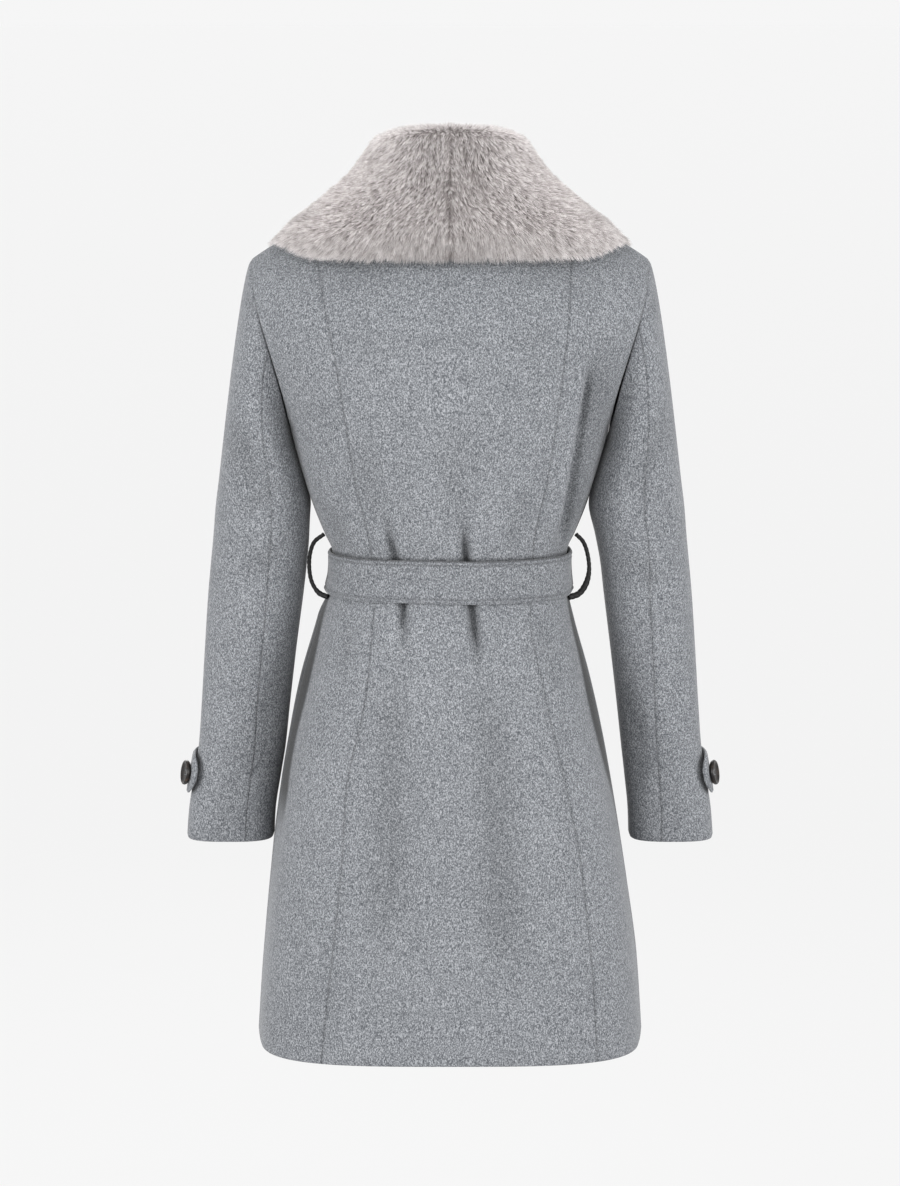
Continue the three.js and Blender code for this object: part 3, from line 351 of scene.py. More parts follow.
# A point of the body. turn runs from 0 at the centre back over 1 at the side to 2 at
# the centre front and on past it; its sign is the wearer's side.
def bodyPoint(height, turn, folds=True, creases=False, over=False):
    height, turn = np.broadcast_arrays(np.asarray(height, float), np.asarray(turn, float))
    side = np.where(turn < 0, right, left)
    around = np.abs(turn)
    isBack = around <= 1
    share = np.where(isBack, around, 2 - around)
    away = np.abs(share)

    def read(at):
        return np.where(isBack[..., None], readRows(backRows, height, at), readRows(frontRows, height, at))

    step = 0.01
    chord = read(np.minimum(1, away + step)) - read(np.maximum(0, away - step))
    facing = np.where(isBack, 1, -1)
    normal = np.stack([-chord[..., 1] * facing, chord[..., 0] * facing, np.zeros(height.shape)], axis=-1)
    normal = unit(normal)
    normal[..., 0] *= np.clip(away / (2 * step), 0, 1)
    normal = unit(normal)
    point = read(away)
    crossed = side * np.where(share < 0, -1, 1)
    point[..., 0] *= crossed
    normal[..., 0] *= crossed
    flare = np.where(crossed == left, bodyTable.flareLeft(height), bodyTable.flareRight(height))
    outwards = smoothStep(0, 0.8, np.abs(point[..., 0]) / bodyTable.backWidth(height))
    point[..., 0] += np.sign(point[..., 0]) * flare * smoothStep(55, -45, point[..., 1]) * outwards
    point[..., 0] += bodyTable.shift(height)
    lift = cloth["thickness"] + cloth["layerGap"]
    push = lift * overlap(height, point[..., 0]) * (1 if over else 0)
    if folds:
        push = push - foldDepth(point, isBack)
    if creases:
        push = push - creaseDepth(point, isBack, bodyCreases)
    return point + normal * push[..., None]


# The sleeves' form, as in the solids

bicepHeight, cuffHeight, frontSleeveSeam, armholeStep = -250, -655, 290, 0.3
sleeveRest = 4.3  # how far the sleeve's inner side is pressed to the body under the arm
frontStart = 1.000001  # the front's turn at the side seam, where the back's is 1

sleeveTable = table("height outer innerLeft innerRight middle halfDepth square seamLeft seamRight", [
    [-655, 275, 184, 187, -32, 41, 2.9, 75, 81],
    [-629, 273, 182.5, 186, -31, 41, 2.8, 75, 82],
    [-590, 267, 176.5, 182, -29, 42, 2.6, 75, 83],
    [-560, 262, 171.5, 178.5, -27, 43, 2.5, 75, 84],
    [-511, 258, 166, 173, -24, 45, 2.4, 76, 86],
    [-453, 254, 159, 166, -20, 48, 2.3, 76, 88],
    [-394, 249.5, 151, 158.5, -15, 51, 2.3, 77, 90],
    [-364, 246.5, 147.5, 155, -13, 53, 2.3, 78, 92],
    [-335, 243.5, 145, 149.5, -11, 55, 2.3, 78, 94],
    [-306, 241, 144.5, 144, -10, 57, 2.3, 79, 95],
    [-275, 237, 152.5, 152, -9, 60, 2.3, 80, 95],
    [-250, 234, 159, 159, -8, 61, 2.3, 80, 95],
])

sleeveCreases = {
    left: records("face points depth width fade", [
        ["back", [(216, -72), (206, -90), (196, -108)], 2.2, 5, 14],
        ["back", [(226, -205), (208, -250), (188, -300)], 3.4, 15, 40],
        ["back", [(170, -268), (190, -292), (222, -312)], 2.4, 10, 24],
        ["back", [(158, -330), (184, -352), (226, -384)], 2.6, 12, 34],
        ["back", [(226, -360), (208, -420), (200, -500)], -2.2, 15, 50],
        ["back", [(172, -470), (190, -530), (196, -600)], 2.0, 13, 44],
        ["front", [(150, -330), (190, -345), (236, -338)], 4.2, 9, 28],
        ["front", [(152, -380), (186, -378), (228, -366)], 3.4, 8, 26],
        ["front", [(214, -80), (204, -110), (196, -150)], 2.4, 9, 26],
        ["front", [(170, -430), (196, -500), (214, -590)], 2.2, 14, 50],
    ]),
    right: records("face points depth width fade", [
        ["back", [(-216, -74), (-207, -92), (-197, -112)], 2.2, 5, 14],
        ["back", [(-228, -190), (-206, -236), (-190, -292)], 3.0, 15, 40],
        ["back", [(-168, -262), (-192, -282), (-224, -296)], 2.2, 9, 24],
        ["back", [(-160, -346), (-188, -364), (-230, -392)], 2.4, 12, 34],
        ["back", [(-224, -372), (-210, -440), (-206, -520)], -2.0, 15, 50],
        ["back", [(-180, -480), (-194, -548), (-200, -610)], 1.8, 12, 40],
        ["front", [(-152, -340), (-190, -352), (-238, -344)], 4.0, 9, 28],
        ["front", [(-156, -392), (-190, -388), (-230, -374)], 3.0, 8, 26],
        ["front", [(-214, -84), (-205, -114), (-198, -156)], 2.2, 9, 26],
        ["front", [(-176, -440), (-200, -510), (-216, -600)], 2.0, 14, 50],
    ]),
}


# A point on a sleeve's ring: a superellipse, its angle from the inner side over the back.
def sleeveRing(side, height, angle):
    height, angle = np.broadcast_arrays(np.asarray(height, float), np.asarray(angle, float))
    outer = sleeveTable.outer(height)
    inner = (sleeveTable.innerLeft if side == left else sleeveTable.innerRight)(height)
    inner = inner - sleeveRest * np.exp(-(((height + 268) / 34) ** 2))
    bend = 2 / sleeveTable.square(height)
    turn = np.radians(angle)
    x = (outer + inner) / 2 - (outer - inner) / 2 * signedPower(np.cos(turn), bend)
    y = sleeveTable.middle(height) + sleeveTable.halfDepth(height) * signedPower(np.sin(turn), bend)
    return np.stack([side * x, y, height], axis=-1)


# A point of the sleeve. From 0 at the armhole to 1 at the bicep it is a cubic curve that
# leaves the armhole downwards and meets the arm; below 0, along is a height of the arm.
def sleevePoint(side, along, angle):
    along, angle = np.broadcast_arrays(np.asarray(along, float), np.asarray(angle, float))
    arm = sleeveRing(side, np.minimum(along, bicepHeight), angle)
    turned = np.radians(angle % 360)
    middle, half = (underarmHeight + backNeckHeight) / 2, (backNeckHeight - underarmHeight) / 2
    height = np.clip(middle - half * np.cos(turned), underarmHeight, backNeckHeight)
    start = bodyPoint(height, np.where(angle % 360 <= 180, side, side * frontStart), folds=False)
    start[..., 0] += side * armholeStep
    end = sleeveRing(side, bicepHeight, angle)
    upwards = (end - sleeveRing(side, bicepHeight - 2, angle)) * 0.5
    distance = np.linalg.norm(end - start, axis=-1)[..., None]
    sideways = 0.4 - 0.12 * np.cos(turned) - 0.34 * np.maximum(0, np.cos(turned)) ** 4
    leave = np.stack([side * sideways, np.zeros_like(sideways), -np.sqrt(1 - sideways ** 2)], axis=-1)
    first = start + leave * np.minimum(18, 0.25 * distance)
    second = end + upwards * 0.34 * distance
    s = np.clip(along, 0, 1)[..., None]
    cap = start * (1 - s) ** 3 + first * 3 * s * (1 - s) ** 2 + second * 3 * s * s * (1 - s) + end * s ** 3
    return np.where((along < 0)[..., None], arm, cap)


# Meshes

# Normals of a grid of points, from the cross product of its two directions.
def gridNormals(points):
    return unit(np.cross(np.gradient(points, axis=0), np.gradient(points, axis=1)))


def joinQuads(a, b, c, d):
    return np.stack([a, b, c, d], axis=-1).reshape(-1, 4)


# A closed wall from the grids of its outer and inner points. A ring joins its last
# column to its first. Its faces are turned outwards by the sign of its volume.
def wallFaces(outer, inner, ring=False):
    rows, columns = outer.shape[:2]
    points = np.concatenate([outer.reshape(-1, 3), inner.reshape(-1, 3)])
    near = np.arange(rows * columns).reshape(rows, columns)
    if ring:
        near = np.concatenate([near, near[:, :1]], axis=1)
    far = near + rows * columns
    faces = [joinQuads(near[:-1, :-1], near[:-1, 1:], near[1:, 1:], near[1:, :-1]),
             joinQuads(far[:-1, :-1], far[1:, :-1], far[1:, 1:], far[:-1, 1:]),
             joinQuads(near[0, :-1], far[0, :-1], far[0, 1:], near[0, 1:]),
             joinQuads(near[-1, :-1], near[-1, 1:], far[-1, 1:], far[-1, :-1])]
    if not ring:
        faces.append(joinQuads(near[:-1, 0], near[1:, 0], far[1:, 0], far[:-1, 0]))
        faces.append(joinQuads(near[:-1, -1], far[:-1, -1], far[1:, -1], near[1:, -1]))
    faces = np.concatenate(faces)
    a, b, c, d = (points[faces[:, i]] for i in range(4))
    volume = np.sum(a * np.cross(b, c)) + np.sum(a * np.cross(c, d))
    return points, faces if volume > 0 else faces[:, ::-1]


# An object from points in millimetres and faces that all have the same corners.
def makePiece(name, points, faces, material, values=None):
    mesh = bpy.data.meshes.new(name)
    corners = faces.shape[1]
    mesh.vertices.add(len(points))
    mesh.vertices.foreach_set("co", (points * millimetre).astype(np.float32).ravel())
    mesh.loops.add(faces.size)
    mesh.loops.foreach_set("vertex_index", faces.astype(np.int32).ravel())
    mesh.polygons.add(len(faces))
    mesh.polygons.foreach_set("loop_start", np.arange(0, faces.size, corners, dtype=np.int32))
    mesh.polygons.foreach_set("use_smooth", np.full(len(faces), True))
    for label, amounts in (values or {}).items():
        layer = mesh.attributes.new(label, "FLOAT", "POINT")
        layer.data.foreach_set("value", np.asarray(amounts, np.float32).ravel())
    mesh.update(calc_edges=True)
    mesh.materials.append(material)
    piece = bpy.data.objects.new(name, mesh)
    bpy.context.scene.collection.objects.link(piece)
    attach(piece, "root")
    return piece


# A grid's area: half of what the two diagonals of each cell span, added up.
def gridArea(points):
    across = points[1:, 1:] - points[:-1, :-1]
    other = points[:-1, 1:] - points[1:, :-1]
    return np.sum(np.linalg.norm(np.cross(across, other), axis=-1)) / 2


# What a grid of cloth points would measure flat: its widest row, its longest column and
# its area, in metres.
def flatSize(points):
    widths = np.linalg.norm(np.diff(points, axis=1), axis=2).sum(axis=1)
    lengths = np.linalg.norm(np.diff(points, axis=0), axis=2).sum(axis=0)
    size = (round(widths.max() * millimetre, 4), round(lengths.max() * millimetre, 4))
    return size, round(min(gridArea(points) * millimetre ** 2, size[0] * size[1]), 5)


# A tube along points, closed at both ends: rings of the given radii, turned so that they
# don't twist, with the radius free to change round the ring.
def tubeGrid(path, radii, sides):
    path = np.asarray(path, float)
    tangents = unit(np.gradient(path, axis=0))
    upright = np.array([0.0, 1.0, 0.0])
    across = unit(np.cross(tangents, upright))
    other = np.cross(tangents, across)
    turn = np.linspace(0, 2 * np.pi, sides, endpoint=False)
    ring = np.cos(turn)[None, :, None] * across[:, None] + np.sin(turn)[None, :, None] * other[:, None]
    return path[:, None] + ring * np.broadcast_to(radii, (len(path), sides))[..., None]


# Faces of a closed lump given as rings of points, drawn to a point at each end.
def closedRings(grid):
    rings, sides = grid.shape[:2]
    points = np.concatenate([grid.reshape(-1, 3), grid[0].mean(axis=0)[None], grid[-1].mean(axis=0)[None]])
    index = np.arange(rings * sides).reshape(rings, sides)
    index = np.concatenate([index, index[:, :1]], axis=1)
    quads = joinQuads(index[:-1, :-1], index[:-1, 1:], index[1:, 1:], index[1:, :-1])
    sidesFaces = np.concatenate([quads[:, [0, 1, 2]], quads[:, [0, 2, 3]]])
    low, high = rings * sides, rings * sides + 1
    bottom = np.stack([np.full(sides, low), index[0, 1:], index[0, :-1]], axis=-1)
    top = np.stack([np.full(sides, high), index[-1, :-1], index[-1, 1:]], axis=-1)
    faces = np.concatenate([sidesFaces, bottom, top])
    a, b, c = (points[faces[:, i]] for i in range(3))
    return points, faces if np.sum(a * np.cross(b, c)) > 0 else faces[:, ::-1]


# Materials

# One output of a shader tree. An expression on it adds Math nodes.
class Output:
    def __init__(self, tree, socket):
        self.tree = tree
        self.socket = socket

    # Adds a node: its settings first, then the values or links of its sockets.
    def node(self, kind, settings=None, sockets=None, output=0):
        return addNode(self.tree, kind, settings, sockets, output)

    def maths(self, operation, first, second):
        return self.node("ShaderNodeMath", {"operation": operation}, {0: first, 1: second})

    def __add__(self, other):
        return self.maths("ADD", self, other)

    def __sub__(self, other):
        return self.maths("SUBTRACT", self, other)

    def __mul__(self, other):
        return self.maths("MULTIPLY", self, other)

    def clamped(self):
        return self.maths("MINIMUM", self.maths("MAXIMUM", self, 0.0), 1.0)


def addNode(tree, kind, settings=None, sockets=None, output=0):
    node = tree.nodes.new(kind)
    for name, value in (settings or {}).items():
        if name == "stops":
            setStops(node.color_ramp, value)
        else:
            setattr(node, name, value)
    for name, value in (sockets or {}).items():
        socket = node.inputs[name]
        if isinstance(value, Output):
            tree.links.new(value.socket, socket)
        else:
            socket.default_value = value
    return Output(tree, node.outputs[output])


# A ramp's stops as (position, colour) pairs.
def setStops(ramp, stops):
    while len(ramp.elements) < len(stops):
        ramp.elements.new(0.5)
    for element, (position, colour) in zip(ramp.elements, stops):
        element.position = position
        element.color = (*colour, 1)


# The product of two colours; 6 and 7 are the Mix node's colour inputs, 2 its colour output.
def multiplyColours(tree, a, b):
    settings = {"data_type": "RGBA", "blend_type": "MULTIPLY"}
    return addNode(tree, "ShaderNodeMix", settings, {0: 1.0, 6: a, 7: b}, 2)


def newMaterial(name, constants):
    material = bpy.data.materials.new(name)
    material.use_nodes = True
    shader = material.node_tree.nodes["Principled BSDF"]
    for socket, value in constants.items():
        shader.inputs[socket].default_value = value
    place = addNode(material.node_tree, "ShaderNodeTexCoord", output="Object")
    return material, material.node_tree, shader, place


# Noise in the object's own space, drawn out along an axis where stretch says so.
def noise(place, scale, detail=2.0, rough=0.5, stretch=None):
    spot = place
    if stretch:
        spot = place.node("ShaderNodeMapping", {}, {"Vector": place, "Scale": stretch})
    sockets = {"Vector": spot, "Scale": scale, "Detail": detail, "Roughness": rough}
    return spot.node("ShaderNodeTexNoise", {}, sockets)


# What a mesh stores under a name for each of its points.
def attribute(tree, name):
    return addNode(tree, "ShaderNodeAttribute", {"attribute_name": name}, output="Fac")


def connect(tree, output, shader, socket):
    tree.links.new(output.socket, shader.inputs[socket])


# Melange wool: pale and dark fibres mixed finely, in a soft felted nap.
wool = dict(
    dark=(0.039, 0.042, 0.048), middle=(0.104, 0.109, 0.117), pale=(0.220, 0.227, 0.240),
    # seamShade, foldShade, beltShadow, beltShadowReach and sideShade set painted shade. They control how
    # far the cloth's colour is darkened in its seams and folds, in a painted shadow under the belt's upper
    # edge, and past the back's edge.
    fibreScale=800, flockScale=330, cloudScale=14, bumpDistance=0.0007, seamShade=0.80,
    foldShade=0.066, seamFade=(0.4, 2.6), beltShadow=0.62, beltShadowReach=2.6, sideShade=0.88,
)


def woolMaterial(name, tint=1.0):
    material, tree, shader, place = newMaterial(name, {
        "Roughness": 0.94, "Sheen Weight": 0.16, "Sheen Roughness": 0.4, "Specular IOR Level": 0.25,
    })
    fibres = noise(place, wool["fibreScale"], 3.0, 0.72, (1, 1, 0.7))
    flocks = noise(place, wool["flockScale"], 2.0, 0.6, (1, 1, 0.8))
    clouds = noise(place, wool["cloudScale"], 2.0)
    mixed = fibres * 0.86 + flocks * 0.14 + (clouds - 0.5) * 0.03
    stops = [(0.395, wool["dark"]), (0.487, wool["middle"]), (0.513, wool["middle"]), (0.605, wool["pale"])]
    stops = [(position, [channel * tint for channel in colour]) for position, colour in stops]
    colour = mixed.node("ShaderNodeValToRGB", {"stops": stops}, {"Fac": mixed})
    # The mesh's shade attribute is painted shade, multiplied into the base colour.
    shade = attribute(tree, "shade")
    grey = shade.node("ShaderNodeCombineColor", {}, {0: shade, 1: shade, 2: shade})
    colour = multiplyColours(tree, colour, grey)
    height = fibres * 0.6 + flocks * 0.4
    relief = {"Strength": 0.55, "Distance": wool["bumpDistance"], "Height": height}
    bump = height.node("ShaderNodeBump", {}, relief)
    connect(tree, colour, shader, "Base Color")
    connect(tree, bump, shader, "Normal")
    return material


# Fur: each strand goes from a taupe root to a silver tip, with lighter and darker locks.
fur = dict(root=(0.072, 0.060, 0.056), body=(0.385, 0.355, 0.348), tip=(0.75, 0.72, 0.712))


def furMaterial(name):
    material, tree, shader, place = newMaterial(name, {
        "Roughness": 0.8, "Sheen Weight": 0.08, "Sheen Roughness": 0.4, "Specular IOR Level": 0.2,
    })
    streaks = noise(place, 240, 2.0)
    # The tone attribute holds each strand's colour from root to tip, with painted highlight and painted
    # shade added to it in pileStrands.
    tone = (attribute(tree, "tone") + (streaks - 0.5) * 0.25).clamped()
    colour = tone.node("ShaderNodeValToRGB", {
        "stops": [(0.0, fur["root"]), (0.5, fur["body"]), (1.0, fur["tip"])],
    }, {"Fac": tone})
    connect(tree, colour, shader, "Base Color")
    bump = streaks.node("ShaderNodeBump", {}, {"Strength": 0.3, "Distance": 0.0004, "Height": streaks})
    connect(tree, bump, shader, "Normal")
    return material


# Near-black twisted cord.
def cordMaterial(name):
    material, tree, shader, place = newMaterial(name, {"Roughness": 0.62, "Specular IOR Level": 0.2})
    fibres = noise(place, 900, 3.0)
    stops = [(0.3, (0.003, 0.003, 0.0033)), (0.7, (0.010, 0.0098, 0.010))]
    colour = fibres.node("ShaderNodeValToRGB", {"stops": stops}, {"Fac": fibres})
    connect(tree, colour, shader, "Base Color")
    bump = fibres.node("ShaderNodeBump", {}, {"Strength": 0.5, "Distance": 0.0003, "Height": fibres})
    connect(tree, bump, shader, "Normal")
    return material


# Polished horn: brown and black clouds drawn into streaks.
def hornMaterial(name):
    material, tree, shader, place = newMaterial(name, {"Roughness": 0.34, "Specular IOR Level": 0.3})
    drift = noise(place, 90, 3.0, 0.6, (1, 1, 2.2))
    grain = noise(place, 420, 2.0, 0.5, (1, 1, 3))
    mixed = drift * 0.8 + grain * 0.2
    stops = [(0.40, (0.003, 0.0025, 0.0025)), (0.56, (0.007, 0.005, 0.004)), (0.70, (0.045, 0.028, 0.019))]
    colour = mixed.node("ShaderNodeValToRGB", {"stops": stops}, {"Fac": mixed})
    connect(tree, colour, shader, "Base Color")
    bump = grain.node("ShaderNodeBump", {}, {"Strength": 0.15, "Distance": 0.0002, "Height": grain})
    connect(tree, bump, shader, "Normal")
    return material


def threadMaterial(name):
    material, tree, shader, place = newMaterial(name, {"Roughness": 0.6, "Sheen Weight": 0.1})
    twist = noise(place, 1400, 2.0)
    stops = [(0.35, (0.07, 0.073, 0.08)), (0.65, (0.14, 0.145, 0.156))]
    colour = twist.node("ShaderNodeValToRGB", {"stops": stops}, {"Fac": twist})
    connect(tree, colour, shader, "Base Color")
    return material


woolCloth = woolMaterial("grey_melange_wool")
beltCloth = woolMaterial("belt_wool", 0.93)
furPile = furMaterial("silver_taupe_fur")
blackCord = cordMaterial("black_cord")
hornButton = hornMaterial("dark_horn")
greyThread = threadMaterial("grey_thread")
print("materials made")


# The body's panels

panels = dict(
    edgeSteps=[0, 0.7, 1.6, 3.2], seamRoll=0.5, seamReach=2.2, seamGap=0.06, hemRoll=1.0, hemReach=3,
    topstitch=6.5, rowsBelow=70, rowsAtWaist=44, rowsAbove=52, waistLow=-450, waistHigh=-300,
)


# How far an edge rolls in towards its seam: a smooth step of the distance to it.
def edgeRoll(distance, depth, reach):
    return depth * (1 - smoothStep(0, reach, distance))


# Distances across a panel for every row: fine steps at both edges, even ones between.
def spreadColumns(lengths, count):
    edge = np.array(panels["edgeSteps"])
    lengths = lengths[:, None]
    middle = edge[-1] + (lengths - 2 * edge[-1]) * np.linspace(0, 1, count + 1)
    start = np.broadcast_to(edge[:-1], (len(lengths), len(edge) - 1))
    return np.concatenate([start, middle, lengths - start[:, ::-1]], axis=1)


# The heights of a panel's rows, finer at the hem, the waist and the neck.
def panelHeights():
    edge = np.array(panels["edgeSteps"])
    low, high = panels["waistLow"], panels["waistHigh"]
    below = np.linspace(hemHeight + edge[-1], low, panels["rowsBelow"])
    waist = np.linspace(low, high, panels["rowsAtWaist"])
    above = np.linspace(high, backNeckHeight - edge[-1], panels["rowsAbove"])
    top = backNeckHeight - edge[::-1][1:]
    return np.concatenate([hemHeight + edge[:-1], below, waist[1:], above[1:], top])


# Points of a panel's outer side at heights and distances from its first edge. The cloth
# rolls in at its seams and its hem.
def panelPoints(start, end, heights, distances, over):
    isBack = np.mean(np.abs(start + end)) / 2 <= 1
    lengths = np.abs(end - start) * rowLength(heights, isBack)
    turn = start[:, None] + (end - start)[:, None] * distances / lengths[:, None]
    points = bodyPoint(np.broadcast_to(heights[:, None], turn.shape), turn, creases=True, over=over)
    fromSeam = np.minimum(distances, lengths[:, None] - distances)
    roll = edgeRoll(fromSeam, panels["seamRoll"], panels["seamReach"])
    roll = np.maximum(roll, edgeRoll((heights - hemHeight)[:, None], panels["hemRoll"], panels["hemReach"]))
    return points, roll, smoothStep(*wool["seamFade"], fromSeam)


# The turns of a seam, from its distance to the centre line in the table.
def seamTurns(heights, side, name, isBack):
    distance = getattr(seamTable, name)(heights)
    share = np.sign(distance) * shareAt(heights, np.abs(distance), isBack)
    return side * (share if isBack else 2 - share)


# Places a row of small raised stitches along a line on cloth. A stitch is a spindle with
# four sides.
stitchSize = dict(pitch=3.7, length=2.5, width=0.62, height=0.34)


def stitchRow(points, normals):
    steps = np.linalg.norm(np.diff(points, axis=0), axis=1)
    along = np.concatenate([[0], np.cumsum(steps)])
    spots = np.arange(stitchSize["pitch"], along[-1] - stitchSize["pitch"], stitchSize["pitch"])
    half = stitchSize["length"] / 2

    def read(values, at):
        return np.stack([np.interp(at, along, values[:, axis]) for axis in range(3)], axis=-1)

    start, end, normal = read(points, spots - half), read(points, spots + half), unit(read(normals, spots))
    middle = (start + end) / 2
    across = unit(np.cross(normal, end - start)) * stitchSize["width"] / 2
    raised = normal * stitchSize["height"]
    waist = [middle + across, middle + raised, middle - across, middle - raised]
    corners = np.stack([start, *waist, end], axis=1)
    faces = [[0, 2, 1], [0, 3, 2], [0, 4, 3], [0, 1, 4], [5, 1, 2], [5, 2, 3], [5, 3, 4], [5, 4, 1]]
    faces = np.array(faces)
    return corners, faces


# One set of points and faces from shapes given as (corners of each copy, faces).
def joinShapes(shapes):
    points, faces, first = [], [], 0
    for corners, shapeFaces in shapes:
        count = corners.shape[1]
        points.append(corners.reshape(-1, 3))
        offsets = first + np.arange(len(corners)) * count
        faces.append((shapeFaces[None] + offsets[:, None, None]).reshape(-1, shapeFaces.shape[1]))
        first += len(corners) * count
    return np.concatenate(points), np.concatenate(faces)


# Below the belt the fronts swing out past the back, which ends in a soft edge at these
# distances from the centre line; past the edge, as far as the side, the cloth gets painted shade.
backEdge = table("height left right", [
    [-380, 119, 117], [-415, 129, 122.4], [-459, 138.4, 132.5], [-506, 149.4, 142], [-534, 156.5, 149],
    [-572, 163.5, 159], [-600, 167, 166.5], [-640, 174, 174],
])


# Where that painted shade falls: below the belt, past the back's edge, on the part that still faces the
# back.
def pastBackEdge(points):
    x, y, height = points[..., 0], points[..., 1], points[..., 2]
    edge = np.where(x > 0, backEdge.left(height), backEdge.right(height))
    below = smoothStep(-388, -394, height) * smoothStep(-645, -590, height)
    return below * smoothStep(edge - 1.2, edge + 1.6, np.abs(x)) * smoothStep(-14, 12, y)


# Painted shade: the share of the light that the cloth keeps, painted into its colour. It is less in
# its seams, its folds, along the belt's upper edge (a painted shadow) and past the back's edge.
def bodyShade(points, fromSeam, isBack):
    folds = np.maximum(0, foldDepth(points, isBack) + creaseDepth(points, isBack, bodyCreases))
    shade = mix(wool["seamShade"], 1, fromSeam) * np.exp(-wool["foldShade"] * folds)
    fromBelt = (points[..., 2] - beltTop) / wool["beltShadowReach"]
    underBelt = wool["beltShadow"] * np.exp(-(fromBelt ** 2))
    return shade * (1 - wool["sideShade"] * pastBackEdge(points)) * (1 - underBelt)


# A panel between two seams, as a wall of cloth with topstitching along the edges named.
def bodyPanel(name, start, end, count, over=False, stitched=()):
    heights = panelHeights()
    starts, ends = start(heights), end(heights)
    isBack = np.mean(np.abs(starts + ends)) / 2 <= 1
    trim = panels["seamGap"] / 2 / rowLength(heights, isBack)
    starts, ends = starts + trim, ends - trim
    lengths = (ends - starts) * rowLength(heights, isBack)
    distances = spreadColumns(lengths, count)
    plain, roll, fromSeam = panelPoints(starts, ends, heights, distances, over)
    normals = gridNormals(plain)
    outer = plain - normals * roll[..., None]
    inner = plain - normals * cloth["thickness"]
    points, faces = wallFaces(outer, inner)
    # Painted shade on the outer side; the inner side keeps the plain colour.
    shade = bodyShade(plain, fromSeam, isBack)
    shade = np.concatenate([shade.ravel(), np.ones(shade.size)])
    piece = makePiece(name + "_cloth", points, faces, woolCloth, {"shade": shade})
    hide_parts(name)
    seams = []
    for fromStart in stitched:
        line = np.full((len(heights), 1), panels["topstitch"])
        line = line if fromStart else lengths[:, None] - line
        stitchLine, _, _ = panelPoints(starts, ends, heights, line, over)
        column = np.argmin(np.abs(distances - line), axis=1)
        lineNormals = np.take_along_axis(normals, column[:, None, None], axis=1)[:, 0]
        seams.append(stitchRow(stitchLine[2:-2, 0] + lineNormals[2:-2] * 0.05, lineNormals[2:-2]))
    if seams:
        sewing = makePiece(name + "_topstitch", *joinShapes(seams), greyThread)
    size, area = flatSize(plain)
    print(name, "flat", size, "area", area)


def buildBody():
    def backSeam(side):
        name = "backLeft" if side == left else "backRight"
        return lambda heights: seamTurns(heights, side, name, True)

    def frontSeam(side, name="front"):
        return lambda heights: seamTurns(heights, side, name, False)

    def sideSeam(turn):
        return lambda heights: np.full(heights.shape, turn)

    bodyPanel("back_centre", backSeam(right), backSeam(left), 54, stitched=(True, False))
    bodyPanel("back_side_left", backSeam(left), sideSeam(left), 42)
    bodyPanel("back_side_right", sideSeam(right), backSeam(right), 42)
    bodyPanel("front_side_left", sideSeam(left * frontStart), frontSeam(left), 28)
    bodyPanel("front_side_right", frontSeam(right), sideSeam(right * frontStart), 28, over=True)
    bodyPanel("front_left", frontSeam(left), frontSeam(left, "frontEdge"), 28)
    bodyPanel("front_right", frontSeam(right, "frontEdge"), frontSeam(right), 28, over=True)


buildBody()
print("body made")


# The sleeves

sleeve = dict(capLength=60, ringRadius=52, trimRadius=50, capRoll=1.0, capReach=4, armRows=80, middleRow=60)


# Where a sleeve's rows lie: over the cap from 0 to 1, then down the arm by height.
def sleeveAlongs():
    edge = np.array(panels["edgeSteps"])
    cap = np.concatenate([[0, 0.008, 0.02, 0.04], np.linspace(0.075, 1, 20)])
    arm = np.linspace(bicepHeight - 5, cuffHeight + edge[-1], sleeve["armRows"])
    return np.concatenate([cap, arm, cuffHeight + edge[:-1][::-1]])


